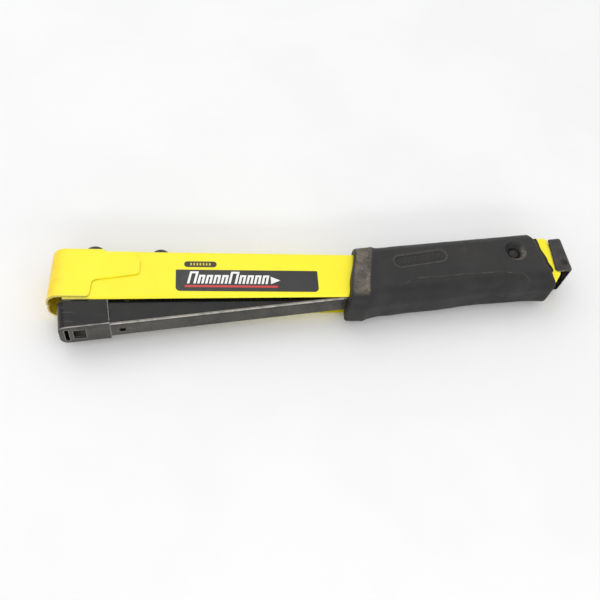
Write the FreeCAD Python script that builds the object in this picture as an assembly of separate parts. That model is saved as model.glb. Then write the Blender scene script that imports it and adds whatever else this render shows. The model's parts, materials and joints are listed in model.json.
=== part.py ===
import FreeCAD, Part
import os
from math import cos, radians, sin, tan
from FreeCAD import Placement, Rotation, Vector

# Hammer tacker (swing-type staple gun), millimetres.
# It is drawn lying on its side: X runs along the tool from the striking head to the butt of the
# handle, Y points from the magazine towards the spine, and Z is across the tool, upwards.
# While it is drawn, X = 0 is the foot of the head's front and Z = 0 is the mid-plane. The last
# step moves every piece so that the origin is the bottom centre of the whole tool's box.

# ---- Driving dimensions -------------------------------------------------------------------
# Staples: heavy-duty flat wire. They set every width in the tool.
STAPLE_CROWN = 10.6         # outside width
STAPLE_WIRE = 0.5           # thickness of a leg, across the tool
STAPLE_PLAY = 0.25          # to each side of a staple in the magazine
# Housing: one steel channel, open below, whose rear stretch is the handle
SHEET = 1.2                 # yellow channel's sheet
SPINE_Y = 31.1              # outside of the spine over the magazine
SPINE_RADIUS = 2.0          # outside corner between the spine and the side plates
BEND_X = 172.0              # where the handle bends away from the magazine
BEND_ANGLE = 6.8            # degrees
BEND_RADIUS = 40.0
HANDLE_LENGTH = 125.5       # from the bend to the spine's rear end, along X
HANDLE_DEPTH = 34.3         # from the spine's rear end down to the side plates' rear foot
PLATE_FRONT_Y = -1.2        # lower edge of the side plates at the head
PLATE_MIDDLE = (73.0, 0.0)  # and where that edge starts to rise
# Head wrap: a second sheet folded round the striking head
WRAP_SHEET = 1.1
WRAP_FOOT_Y = -0.3
WRAP_LEAN = 1.2             # how far the front leans back over its height
WRAP_CORNER = 7.5           # outside radius of the two front corners, seen along Y
WRAP_EDGE = 2.4             # outside radius round the top
WRAP_LAP = 0.5              # between the bend of those corners and the channel's front edge
WRAP_TOP_END = 30.0         # the sheet over the spine ends here
WRAP_STEP_X = 23.4          # the side flange steps up here
WRAP_LOBE_X = 49.9          # rear end of the side flange
WRAP_RISE = 0.163           # slope of the flange's lower edge behind the step
SEAM = 0.5
# Grip
GRIP_WALL = 4.0             # rubber outside each side plate
GRIP_OVER = 3.7             # rubber over the spine
GRIP_CORNER = 10.0          # of its lower edges
GRIP_TOP_CORNER = 6.5
DIMPLE_RADIUS = 6.5
# Swing of the magazine
PIVOT_FROM_REAR = 24.5      # from the spine's rear end, along X
PIVOT_DEPTH = 10.64         # under the spine
PIVOT_RADIUS = 2.2
MAGAZINE_SLOPE = 7.55       # degrees between the magazine and the spine, at rest
CLOSING = 2.8               # degrees that the magazine swings up on a blow
RUNNING_FIT = 0.05          # radial clearance of each turning fit
SIDE_PLAY = 0.1
# Magazine
MAGAZINE_SHEET = 1.2
MAGAZINE_HEIGHT = 13.8
MAGAZINE_CORNER = 2.1
MAGAZINE_PAST_REAR = 2.5    # its rear end, past the spine's
GAUGE_HOLE_RADIUS = 1.85
RAIL_PLAY = 0.2
RAIL_SHEET = 1.0
RAIL_SLOT = 2.4
RAIL_DEPTH = 1.8            # the rail's top under the magazine's top
# Nose
NOSE_GAP = 3.5              # to the wrap's front wall, when closed
NOSE_LENGTH = 27.25
NOSE_SIDE_WALL = 1.85
NOSE_WALL = 1.8
NOSE_PLAY = 0.2             # to each side plate
NOSE_CORNER = 5.0
NOSE_INSIDE_CORNER = 1.0
NOSE_RISE = 3.5             # its side walls over the magazine's
SLOT_THICKNESS = 2.1
WINDOW_LENGTH = 6.6
WINDOW_BAR = 2.35           # between the outlet slot and the window
GUIDE_THICKNESS = 1.35
GUIDE_RISE = 10.5           # the guide plate over the magazine's side walls
# Driver
BLADE_THICKNESS = 1.2
BLADE_RIVET_RADIUS = 1.2
BLADE_RIVET_SPREAD = 3.0
BRACKET_REAR_X = 29.5
BRACKET_SIDE_GAP = 1.3
DRIVER_SCREW_X = 23.8
DRIVER_SCREW_RADIUS = 2.5
DRIVER_HEAD = (7.0, 6.9)    # radius and height of the dome
SPRING_SCREW_X = 60.9
SPRING_SCREW_RADIUS = 2.0
SPRING_HEAD = (6.6, 6.5)
# Return spring
SPRING_RADIUS = 4.4         # to the middle of the wire
SPRING_WIRE = 1.2
SPRING_TURNS = 7
SEAT_THICKNESS = 1.2
STRAP_THICKNESS = 1.2
BUMPER_FROM_SCREW = 20.0
BUMPER_LENGTH = 12.0
# Stop pin
STOP_HEADROOM = 3.9         # from its middle to the spine, when closed
STOP_RADIUS = 1.4
STOP_PLAY = 0.15
# Feeder: rod, end plug, latch and pusher
ROD_RADIUS = 1.5
PUSHER_LENGTH = 21.0
PUSHER_LEAD = 10.2          # the shoe's front ahead of the block inside the rail
PUSHER_PLATE = 0.8
PIN_TO_PUSHER = 1.4         # gap between the pivot pin and the pusher that passes under it
PLUG_LENGTH = 10.0
LATCH_PIN_RADIUS = 1.3
LATCH_SHEET = 1.5
LATCH_GAP = 0.3
LATCH_LEG = 8.9             # length of a side leg at its lower end
LATCH_HEIGHT = 24.6
# Label and badge, on the upper side plate
LABEL_X = 69.8
LABEL_LENGTH = 80.6
LABEL_HEIGHT = 14.1
LABEL_DROP = 12.7           # its upper edge under the spine
BADGE_X = 74.4
BADGE_LENGTH = 18.2
BADGE_HEIGHT = 3.8
BADGE_DROP = 7.0
LABEL_SHEET = 0.15

# ---- Sizes worked out from them -----------------------------------------------------------
# Widths, from the staple outwards
MAGAZINE_INSIDE = STAPLE_CROWN / 2 + STAPLE_PLAY
MAGAZINE_HALF = MAGAZINE_INSIDE + MAGAZINE_SHEET
NOSE_HALF = MAGAZINE_HALF + NOSE_SIDE_WALL
INSIDE = NOSE_HALF + NOSE_PLAY
HALF = INSIDE + SHEET
WRAP_HALF = HALF + WRAP_SHEET
GRIP_HALF = HALF + GRIP_WALL
RAIL_HALF = STAPLE_CROWN / 2 - STAPLE_WIRE - RAIL_PLAY
RAIL_INSIDE = RAIL_HALF - RAIL_SHEET
BLADE_HALF = STAPLE_CROWN / 2 - 0.1
SLOT_HALF = STAPLE_CROWN / 2 + 0.3
WINDOW_HALF = RAIL_HALF - 0.3
# Housing and pivot
BEND_SLOPE = tan(radians(BEND_ANGLE))
SPINE_INSIDE = SPINE_Y - SHEET
WRAP_TOP = SPINE_Y + WRAP_SHEET
HOUSING_FRONT = WRAP_CORNER + WRAP_LEAN + WRAP_LAP
HOUSING_REAR = BEND_X + HANDLE_LENGTH
SPINE_REAR_Y = SPINE_Y + HANDLE_LENGTH * BEND_SLOPE
REAR_LOBE_X = HOUSING_REAR + 3.8
PIVOT_X = HOUSING_REAR - PIVOT_FROM_REAR
PIVOT_Y = SPINE_Y + (PIVOT_X - BEND_X) * BEND_SLOPE - PIVOT_DEPTH
# Magazine, in its own axes: U along it, V across it, both from the pivot.
# The pusher passes under the pivot pin, which sets the height of the rail.
RAIL_TOP = -(PIVOT_RADIUS + PIN_TO_PUSHER + PUSHER_PLATE)
PUSHER_TOP = RAIL_TOP + PUSHER_PLATE
MAGAZINE_TOP = RAIL_TOP + RAIL_DEPTH
MAGAZINE_FLOOR = MAGAZINE_TOP - MAGAZINE_HEIGHT
FLOOR_INSIDE = MAGAZINE_FLOOR + MAGAZINE_SHEET
CHANNEL_IN_RAIL = RAIL_TOP - RAIL_SHEET
ROD_V = (CHANNEL_IN_RAIL + FLOOR_INSIDE) / 2
MAGAZINE_REAR = PIVOT_FROM_REAR + MAGAZINE_PAST_REAR
EAR_RADIUS = PIVOT_RADIUS + 2.8
# Nose and driver
CLOSED_SLOPE = MAGAZINE_SLOPE - CLOSING
NOSE_FRONT_U = -(PIVOT_X - WRAP_SHEET - NOSE_GAP) / cos(radians(CLOSED_SLOPE))
NOSE_REAR_U = NOSE_FRONT_U + NOSE_LENGTH
NOSE_TOP = MAGAZINE_TOP + NOSE_RISE
GUIDE_TOP = MAGAZINE_TOP + GUIDE_RISE
SLOT_FRONT = NOSE_FRONT_U + NOSE_WALL + GUIDE_THICKNESS
SLOT_REAR = SLOT_FRONT + SLOT_THICKNESS
BLADE_LINE_U = (SLOT_FRONT + SLOT_REAR) / 2 + 0.2
BRACKET_FOOT_V = GUIDE_TOP + 2.5
GAUGE_HOLE_U = NOSE_REAR_U + 6.3
# Feeder
RAIL_REAR = MAGAZINE_REAR - 7.0
PLUG_FRONT = RAIL_REAR - PLUG_LENGTH
LATCH_PIN_U = MAGAZINE_REAR + 2.5
ROD_FRONT = SLOT_REAR + 4.0
PUSHER_FRONT = SLOT_REAR + 0.25
PUSHER_BLOCK_FRONT = PUSHER_FRONT + PUSHER_LEAD
STRAP_TOP = MAGAZINE_TOP + STRAP_THICKNESS
TINY = 0.001
FAR = 400.0

ACROSS = Vector(0, 0, 1)
AT_REST = Placement(Vector(PIVOT_X, PIVOT_Y, 0), Rotation(ACROSS, MAGAZINE_SLOPE))
WHEN_CLOSED = Placement(Vector(PIVOT_X, PIVOT_Y, 0), Rotation(ACROSS, CLOSED_SLOPE))


# ---- Helpers ------------------------------------------------------------------------------
def outline(corners):
    """A closed wire in the XY plane through corners (x, y) or (x, y, radius)."""
    count = len(corners)
    points = [Vector(c[0], c[1], 0) for c in corners]
    ends = []
    for i, corner in enumerate(corners):
        here = points[i]
        radius = corner[2] if len(corner) > 2 else 0
        if not radius:
            ends.append((here, None, here))
            continue
        back = (points[i - 1] - here).normalize()
        ahead = (points[(i + 1) % count] - here).normalize()
        half_angle = back.getAngle(ahead) / 2
        reach = radius / tan(half_angle)
        middle = (back + ahead).normalize()
        crown = here + middle * (radius / sin(half_angle) - radius)
        ends.append((here + back * reach, crown, here + ahead * reach))
    edges = []
    for i in range(count):
        start, crown, end = ends[i]
        if crown is not None:
            edges.append(Part.Arc(start, crown, end).toShape())
        following = ends[(i + 1) % count][0]
        if (following - end).Length > TINY:
            edges.append(Part.LineSegment(end, following).toShape())
    return Part.Wire(edges)


def plate(corners, low, high):
    """A flat piece seen from the side: its outline, from Z = low to Z = high."""
    face = Part.Face(outline(corners))
    face.translate(Vector(0, 0, low))
    return face.extrude(Vector(0, 0, high - low))


def in_plan(corners, low, high):
    """A piece whose outline is seen along Y: corners are (x, z), from Y = low to Y = high."""
    solid = plate(corners, low, high)
    solid.rotate(Vector(0, 0, 0), Vector(1, 0, 0), -90)
    return solid


def block(x0, y0, x1, y1, half):
    """A box between two corners of its side view, equally to both sides of the mid-plane."""
    return Part.makeBox(x1 - x0, y1 - y0, 2 * half, Vector(x0, y0, -half))


def rod(radius, start, end):
    return Part.makeCylinder(radius, (end - start).Length, start, end - start)


def cross_rod(radius, x, y, low, high):
    return rod(radius, Vector(x, y, low), Vector(x, y, high))


def dome(radius, height, foot, direction):
    """A cap of a sphere that stands on foot and points along direction."""
    ball = (radius**2 + height**2) / (2 * height)
    axis = Vector(direction).normalize()
    sphere = Part.makeSphere(ball, foot - axis * (ball - height))
    return sphere.common(rod(radius + 1, foot, foot + axis * (height + 1)))


def fillet_where(solid, radius, test):
    """Rounds the edges whose middle point passes the test."""
    edges = [e for e in solid.Edges if test(e.CenterOfMass, e)]
    return solid.makeFillet(radius, edges)


def moved(solid, place):
    """The solid, drawn in the magazine's axes, put where the magazine is."""
    copy = solid.copy()
    copy.Placement = place.multiply(copy.Placement)
    return copy


def spine_at(x, depth=0.0):
    """Y of the spine's surface at x, or of a line a given depth under it."""
    if x <= BEND_X:
        return SPINE_Y - depth
    return SPINE_Y + (x - BEND_X) * BEND_SLOPE - depth / cos(radians(BEND_ANGLE))


def magazine_line(x, v, slope):
    """Y at x of the line that runs along the magazine at height v, at a slope in degrees."""
    return PIVOT_Y + (x - PIVOT_X) * tan(radians(slope)) + v / cos(radians(slope))


def driver_v(y):
    """V, in the closed magazine's axes, of the point at height y on the blade's line."""
    slope = radians(CLOSED_SLOPE)
    return (y - PIVOT_Y - BLADE_LINE_U * sin(slope)) / cos(slope)


# The side plates' lower edge: under the magazine at the handle's front, and its rear foot
PLATE_HANDLE_X = BEND_X - 3.0
PLATE_HANDLE_Y = magazine_line(PLATE_HANDLE_X, MAGAZINE_FLOOR, MAGAZINE_SLOPE) - 0.48
PLATE_REAR_X = HOUSING_REAR - 2.0
PLATE_REAR_Y = SPINE_REAR_Y - HANDLE_DEPTH


def plate_edge(x):
    """Y of that lower edge along the handle."""
    rise = (PLATE_REAR_Y - PLATE_HANDLE_Y) / (PLATE_REAR_X - PLATE_HANDLE_X)
    return PLATE_HANDLE_Y + (x - PLATE_HANDLE_X) * rise


# ---- Housing ------------------------------------------------------------------------------
def housing_envelope():
    """The filled outside shape of the channel. The grip is hollowed to the same shape."""
    side = plate(
        [
            (HOUSING_FRONT, PLATE_FRONT_Y),
            PLATE_MIDDLE,
            (PLATE_HANDLE_X, PLATE_HANDLE_Y),
            (PLATE_REAR_X, PLATE_REAR_Y, 5.0),
            (REAR_LOBE_X, PLATE_REAR_Y + 8.0, 4.0),
            (REAR_LOBE_X - 1.0, PLATE_REAR_Y + 20.0, 8.0),
            (HOUSING_REAR, SPINE_REAR_Y, 2.5),
            (BEND_X, SPINE_Y, BEND_RADIUS),
            (HOUSING_FRONT, SPINE_Y),
        ],
        -HALF,
        HALF,
    )

    def along_spine(centre, edge):
        on_side = abs(abs(centre.z) - HALF) < TINY
        return on_side and abs(centre.y - spine_at(centre.x)) < 0.1 and centre.x < HOUSING_REAR - 5

    return fillet_where(side, SPINE_RADIUS, along_spine)


# The stop pin, in the magazine's axes: just under the spine when the magazine is closed
STOP_U = NOSE_REAR_U + 4.1
STOP_V = (
    SPINE_INSIDE - STOP_HEADROOM - PIVOT_Y - STOP_U * sin(radians(CLOSED_SLOPE))
) / cos(radians(CLOSED_SLOPE))
STOP_SLOT_RADIUS = STOP_RADIUS + STOP_PLAY


def stop_slot():
    """The slot that the stop pin travels in, through both side plates."""
    radius = STOP_SLOT_RADIUS
    low = AT_REST.multVec(Vector(STOP_U, STOP_V, 0))
    high = WHEN_CLOSED.multVec(Vector(STOP_U, STOP_V, 0))
    side = (high - low).cross(ACROSS).normalize() * radius
    corners = [low + side, high + side, high - side, low - side, low + side]
    middle = Part.Face(Part.makePolygon(corners)).extrude(ACROSS * 2 * HALF)
    middle.translate(Vector(0, 0, -HALF))
    ends = [cross_rod(radius, p.x, p.y, -HALF, HALF) for p in (low, high)]
    return middle.fuse(ends).removeSplitter()


def housing():
    bend_shift = SHEET * tan(radians(BEND_ANGLE / 2))
    hollow = plate(
        [
            (-FAR, SPINE_INSIDE),
            (-FAR, -FAR),
            (FAR, -FAR),
            (FAR, spine_at(FAR, SHEET)),
            (BEND_X + bend_shift, SPINE_INSIDE, BEND_RADIUS + SHEET),
        ],
        -INSIDE,
        INSIDE,
    )

    def along_roof(centre, edge):
        return centre.y > SPINE_INSIDE - 1 and abs(centre.x) < FAR - 1

    hollow = fillet_where(hollow, SPINE_RADIUS - SHEET, along_roof)
    channel = housing_envelope().cut(hollow)
    holes = [
        rod(DRIVER_SCREW_RADIUS, Vector(DRIVER_SCREW_X, 20, 0), Vector(DRIVER_SCREW_X, 40, 0)),
        rod(SPRING_SCREW_RADIUS, Vector(SPRING_SCREW_X, 20, 0), Vector(SPRING_SCREW_X, 40, 0)),
        cross_rod(PIVOT_RADIUS, PIVOT_X, PIVOT_Y, -HALF, HALF),
        stop_slot(),
    ]
    return channel.cut(holes)


# ---- Head wrap ----------------------------------------------------------------------------
def head_plan(y, inset, rear):
    """The wrap's outline seen along Y, at height y, moved inwards by inset."""
    front = inset + WRAP_LEAN * (y - WRAP_FOOT_Y) / (WRAP_TOP - WRAP_FOOT_Y)
    half = WRAP_HALF - inset
    corner = WRAP_CORNER - inset
    wire = outline([(front, -half, corner), (rear, -half), (rear, half), (front, half, corner)])
    wire.rotate(Vector(0, 0, 0), Vector(1, 0, 0), -90)
    wire.translate(Vector(0, y, 0))
    return wire


def head_solid(inset, low, high, rear, edge):
    """The head as a filled shape with rounded upper edges."""
    solid = Part.makeLoft([head_plan(low, inset, rear), head_plan(high, inset, rear)], True, True)

    def round_top(centre, e):
        return abs(centre.y - high) < TINY and centre.x < rear - TINY

    return fillet_where(solid, edge, round_top)


def flange_edge(x):
    """Y of the side flange's lower edge behind its step. It hides the stop pin's slot."""
    stop = AT_REST.multVec(Vector(STOP_U, STOP_V, 0))
    return stop.y - STOP_SLOT_RADIUS - 0.25 + (x - stop.x) * WRAP_RISE


def head_wrap():
    flange_top = SPINE_Y - 1.6
    outside = head_solid(0, WRAP_FOOT_Y, WRAP_TOP, WRAP_LOBE_X + 10, WRAP_EDGE)
    hollow = head_solid(
        WRAP_SHEET, WRAP_FOOT_Y - 5, SPINE_Y, WRAP_LOBE_X + 20, WRAP_EDGE - WRAP_SHEET
    )
    flange = plate(
        [
            (-5, WRAP_FOOT_Y),
            (WRAP_STEP_X, WRAP_FOOT_Y, 2.2),
            (WRAP_STEP_X + 0.9, flange_edge(WRAP_STEP_X + 0.9), 3.0),
            (WRAP_LOBE_X - 0.1, flange_edge(WRAP_LOBE_X), 2.5),
            (WRAP_LOBE_X, flange_top - 5.9, 2.0),
            (WRAP_LOBE_X - 3.6, flange_top, 1.5),
            (WRAP_TOP_END, flange_top, 1.0),
            (WRAP_TOP_END, WRAP_TOP + 5),
            (-5, WRAP_TOP + 5),
        ],
        -WRAP_HALF - 1,
        WRAP_HALF + 1,
    )
    seam = block(-1, WRAP_FOOT_Y - 1, 4, WRAP_TOP - 4, SEAM / 2)
    notch = in_plan([(-1, -1.2), (1, -1.2), (4, -0.6), (4, 0.6), (1, 1.2), (-1, 1.2)], -1, 2.2)
    screw_hole = rod(
        DRIVER_SCREW_RADIUS, Vector(DRIVER_SCREW_X, 20, 0), Vector(DRIVER_SCREW_X, 40, 0)
    )
    return outside.cut(hollow).common(flange).cut([seam, notch, screw_hole])


# ---- Grip ---------------------------------------------------------------------------------
def grip_section(x, top, bottom):
    """A rounded section of the grip across the handle."""
    half = GRIP_HALF + 0.6
    wire = outline(
        [
            (bottom, -half, GRIP_CORNER),
            (top, -half, GRIP_TOP_CORNER),
            (top, half, GRIP_TOP_CORNER),
            (bottom, half, GRIP_CORNER),
        ]
    )
    wire.Placement = Placement(
        Vector(x, 0, 0), Rotation(Vector(0, 1, 0), Vector(0, 0, 1), Vector(1, 0, 0), "XYZ")
    )
    return wire


def grip():
    # Where along the handle, the rubber over the spine and the rubber under the side plates
    stations = [
        (BEND_X - 12, GRIP_OVER, 7.1),
        (BEND_X + 6, GRIP_OVER + 0.6, 8.4),
        (BEND_X + 18, GRIP_OVER + 0.2, 6.4),
        (BEND_X + 45, GRIP_OVER, 5.0),
        (BEND_X + 0.64 * HANDLE_LENGTH, GRIP_OVER, 2.8),
        (HOUSING_REAR - 13.5, GRIP_OVER + 0.1, 2.6),
        (HOUSING_REAR + 4.5, GRIP_OVER, 4.4),
    ]
    sections = [
        grip_section(x, spine_at(x) + over, plate_edge(x) - under) for x, over, under in stations
    ]
    body = Part.makeLoft(sections, True, False)
    low = PLATE_HANDLE_Y - 12.0
    high = SPINE_REAR_Y + 8.0
    side = plate(
        [
            (PLATE_HANDLE_X - 2.5, low),
            (PLATE_REAR_X + 1.0, low),
            (PLATE_REAR_X + 1.4, PLATE_REAR_Y - 2.0, 2.5),
            (PLATE_REAR_X - 4.6, PLATE_REAR_Y + 2.4, 3.0),
            (PLATE_REAR_X - 4.0, PLATE_REAR_Y + 13.0, 6.0),
            (HOUSING_REAR - 8.0, high),
            (BEND_X + 1.0, high),
            (BEND_X + 0.8, SPINE_Y + 3.0),
            (PLATE_HANDLE_X - 0.6, PLATE_HANDLE_Y - 1.7),
        ],
        -GRIP_HALF,
        GRIP_HALF,
    )
    dimple = cross_rod(DIMPLE_RADIUS, PIVOT_X, PIVOT_Y, -GRIP_HALF - 1, GRIP_HALF + 1)
    return body.common(side).cut([housing_envelope(), dimple])


# ---- Driver -------------------------------------------------------------------------------
BLADE_TOP_V = driver_v(SPINE_Y - 2.5)


def driver_blade():
    back = BLADE_LINE_U + BLADE_THICKNESS / 2
    front = BLADE_LINE_U - BLADE_THICKNESS / 2
    blade = block(front, MAGAZINE_FLOOR, back, BLADE_TOP_V, BLADE_HALF)
    holes = [rod(BLADE_RIVET_RADIUS, *ends) for ends in blade_rivet_ends()]
    return moved(blade.cut(holes), WHEN_CLOSED)


def blade_rivet_ends():
    """Start and end of each blade rivet, in the closed magazine's axes."""
    v = (BRACKET_FOOT_V + BLADE_TOP_V) / 2
    front = BLADE_LINE_U - BLADE_THICKNESS / 2
    spread = BLADE_RIVET_SPREAD
    return [(Vector(front, v, z), Vector(front + 7.0, v, z)) for z in (-spread, spread)]


def blade_rivets():
    rivets = []
    for start, end in blade_rivet_ends():
        head = rod(2 * BLADE_RIVET_RADIUS, start - Vector(0.7, 0, 0), start)
        rivets.append(head.fuse(rod(BLADE_RIVET_RADIUS, start, end)).removeSplitter())
    return moved(Part.makeCompound(rivets), WHEN_CLOSED)


def driver_bracket():
    face_u = BLADE_LINE_U + BLADE_THICKNESS / 2
    foot = WHEN_CLOSED.multVec(Vector(face_u, BRACKET_FOOT_V, 0))
    slope = tan(radians(CLOSED_SLOPE))
    half = INSIDE - BRACKET_SIDE_GAP
    head_x = foot.x - (SPINE_INSIDE - foot.y) * slope
    rear_foot = foot.y + (BRACKET_REAR_X - foot.x) * slope
    solid = plate(
        [
            (foot.x, foot.y),
            (BRACKET_REAR_X, rear_foot, 1.0),
            (BRACKET_REAR_X, SPINE_INSIDE),
            (head_x, SPINE_INSIDE),
        ],
        -half,
        half,
    )
    screw_hole = rod(
        DRIVER_SCREW_RADIUS, Vector(DRIVER_SCREW_X, 0, 0), Vector(DRIVER_SCREW_X, 40, 0)
    )
    holes = [rod(BLADE_RIVET_RADIUS, *ends) for ends in blade_rivet_ends()]
    return solid.cut([screw_hole] + [moved(h, WHEN_CLOSED) for h in holes])


def spine_screw(x, seat_y, tip_y, radius, head_radius, head_height):
    """A domed screw that goes down through the spine."""
    head = dome(head_radius, head_height, Vector(x, seat_y, 0), (0, 1, 0))
    shank = rod(radius, Vector(x, tip_y, 0), Vector(x, seat_y, 0))
    return head.fuse(shank).removeSplitter()


def driver_screw():
    tip = SPINE_INSIDE - 6.0
    return spine_screw(DRIVER_SCREW_X, WRAP_TOP, tip, DRIVER_SCREW_RADIUS, *DRIVER_HEAD)


def spring_screw():
    tip = SPINE_INSIDE - 7.0
    return spine_screw(SPRING_SCREW_X, SPINE_Y, tip, SPRING_SCREW_RADIUS, *SPRING_HEAD)


# ---- Return spring ------------------------------------------------------------------------
def spring_seat():
    """A cup under the spine that holds the upper end of the return spring."""
    outer = SPRING_RADIUS + SPRING_WIRE / 2 + 1.1
    inner = outer - 0.9
    low = SPINE_INSIDE - SEAT_THICKNESS - 2.0
    cup = rod(outer, Vector(SPRING_SCREW_X, low, 0), Vector(SPRING_SCREW_X, SPINE_INSIDE, 0))
    hollow = rod(
        inner,
        Vector(SPRING_SCREW_X, low - 1, 0),
        Vector(SPRING_SCREW_X, SPINE_INSIDE - SEAT_THICKNESS, 0),
    )
    hole = rod(SPRING_SCREW_RADIUS, Vector(SPRING_SCREW_X, 0, 0), Vector(SPRING_SCREW_X, 40, 0))
    return cup.cut([hollow, hole])


def strap_u():
    """U of the strap's middle: under the spring screw when the magazine is halfway closed."""
    return (SPRING_SCREW_X - PIVOT_X) / cos(radians(MAGAZINE_SLOPE - CLOSING / 2))


def spring_foot_y():
    """Y just above the strap's highest point under the spring, at rest."""
    reach = SPRING_RADIUS + SPRING_WIRE / 2
    return magazine_line(SPRING_SCREW_X + reach, STRAP_TOP, MAGAZINE_SLOPE) + 0.1


def return_spring():
    low = spring_foot_y() + SPRING_WIRE / 2
    high = SPINE_INSIDE - SEAT_THICKNESS - SPRING_WIRE / 2
    pitch = (high - low) / SPRING_TURNS
    helix = Part.makeHelix(pitch, high - low, SPRING_RADIUS)
    ring = Part.makeCircle(SPRING_WIRE / 2, Vector(SPRING_RADIUS, 0, 0), Vector(0, 1, 0))
    spring = Part.Wire(helix).makePipeShell([Part.Wire(ring)], True, True)
    spring = Part.Solid(spring) if spring.ShapeType == "Shell" else spring
    spring.rotate(Vector(0, 0, 0), Vector(1, 0, 0), -90)
    spring.translate(Vector(SPRING_SCREW_X, low, 0))
    return spring


def bumper():
    """A rubber block under the spine that the magazine's top strikes when it closes."""
    gap = 0.3
    front = SPRING_SCREW_X + BUMPER_FROM_SCREW
    rear = front + BUMPER_LENGTH
    feet = [magazine_line(x, MAGAZINE_TOP + gap, CLOSED_SLOPE) for x in (front, rear)]
    corners = [
        (front, feet[0], 1.0), (rear, feet[1], 1.0), (rear, SPINE_INSIDE), (front, SPINE_INSIDE)
    ]
    return plate(corners, -MAGAZINE_HALF, MAGAZINE_HALF)


# ---- Pivot --------------------------------------------------------------------------------
def pivot_pin():
    shank = cross_rod(PIVOT_RADIUS, PIVOT_X, PIVOT_Y, -HALF, HALF)
    head = dome(4.4, 2.4, Vector(PIVOT_X, PIVOT_Y, HALF), (0, 0, 1))
    clinch = dome(3.6, 1.6, Vector(PIVOT_X, PIVOT_Y, -HALF), (0, 0, -1))
    return shank.fuse([head, clinch]).removeSplitter()


def pivot_spacers():
    """Two rings on the pin that keep the magazine in the middle of the housing."""
    rings = []
    for low, high in ((MAGAZINE_HALF + SIDE_PLAY, INSIDE), (-INSIDE, -MAGAZINE_HALF - SIDE_PLAY)):
        ring = cross_rod(PIVOT_RADIUS + 2.0, PIVOT_X, PIVOT_Y, low, high)
        rings.append(ring.cut(cross_rod(PIVOT_RADIUS, PIVOT_X, PIVOT_Y, low, high)))
    return Part.makeCompound(rings)


# ---- Magazine, drawn in its own axes ------------------------------------------------------
def channel_blank():
    """The magazine's side view: a long strip with an ear at the stop pin and one at the pivot."""
    ear = EAR_RADIUS
    tip = STOP_RADIUS + 1.0
    return plate(
        [
            (SLOT_REAR, MAGAZINE_FLOOR),
            (MAGAZINE_REAR, MAGAZINE_FLOOR),
            (MAGAZINE_REAR, MAGAZINE_TOP, 1.0),
            (ear + 2.0, MAGAZINE_TOP, 2.0),
            (ear, ear, ear * 0.95),
            (-ear, ear, ear * 0.95),
            (-ear - 2.0, MAGAZINE_TOP, 2.0),
            (STOP_U + tip + 2.5, MAGAZINE_TOP, 2.0),
            (STOP_U + tip, STOP_V + tip, tip * 0.95),
            (STOP_U - tip, STOP_V + tip, tip * 0.95),
            (STOP_U - tip - 1.5, MAGAZINE_TOP, 2.0),
            (SLOT_REAR, MAGAZINE_TOP),
        ],
        -MAGAZINE_HALF,
        MAGAZINE_HALF,
    )


def magazine_channel():
    def along_floor(centre, edge):
        return abs(centre.y - MAGAZINE_FLOOR) < TINY and abs(centre.z) > MAGAZINE_HALF - TINY

    blank = fillet_where(channel_blank(), MAGAZINE_CORNER, along_floor)
    hollow = block(-FAR, FLOOR_INSIDE, FAR, FAR, MAGAZINE_INSIDE)

    def inside_floor(centre, edge):
        return abs(centre.y - FLOOR_INSIDE) < TINY and abs(centre.z) > MAGAZINE_INSIDE - TINY

    hollow = fillet_where(hollow, MAGAZINE_CORNER - MAGAZINE_SHEET, inside_floor)
    nose_floor = block(-FAR, MAGAZINE_FLOOR - 1, NOSE_REAR_U, FLOOR_INSIDE, MAGAZINE_HALF)
    gauge_hole = rod(
        GAUGE_HOLE_RADIUS,
        Vector(GAUGE_HOLE_U, MAGAZINE_FLOOR - 1, 0),
        Vector(GAUGE_HOLE_U, FLOOR_INSIDE + 1, 0),
    )
    pivot_hole = cross_rod(PIVOT_RADIUS + RUNNING_FIT, 0, 0, -HALF, HALF)
    stop_hole = cross_rod(STOP_RADIUS, STOP_U, STOP_V, -HALF, HALF)
    channel = blank.cut([hollow, nose_floor, gauge_hole, pivot_hole, stop_hole])
    return moved(channel, AT_REST)


def staple_rail():
    """The inner rail that the staples straddle. A slot in its top lets the pusher through."""
    outside = block(SLOT_REAR, FLOOR_INSIDE, RAIL_REAR, RAIL_TOP, RAIL_HALF)
    hollow = block(-FAR, FLOOR_INSIDE - 1, FAR, CHANNEL_IN_RAIL, RAIL_INSIDE)
    slot = block(PUSHER_BLOCK_FRONT - 0.5, CHANNEL_IN_RAIL - 1, FAR, FAR, RAIL_SLOT / 2)
    gauge_clear = rod(
        RAIL_INSIDE,
        Vector(GAUGE_HOLE_U, FLOOR_INSIDE - 1, 0),
        Vector(GAUGE_HOLE_U, FLOOR_INSIDE, 0),
    )
    return moved(outside.cut([hollow, slot, gauge_clear]), AT_REST)


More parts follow.
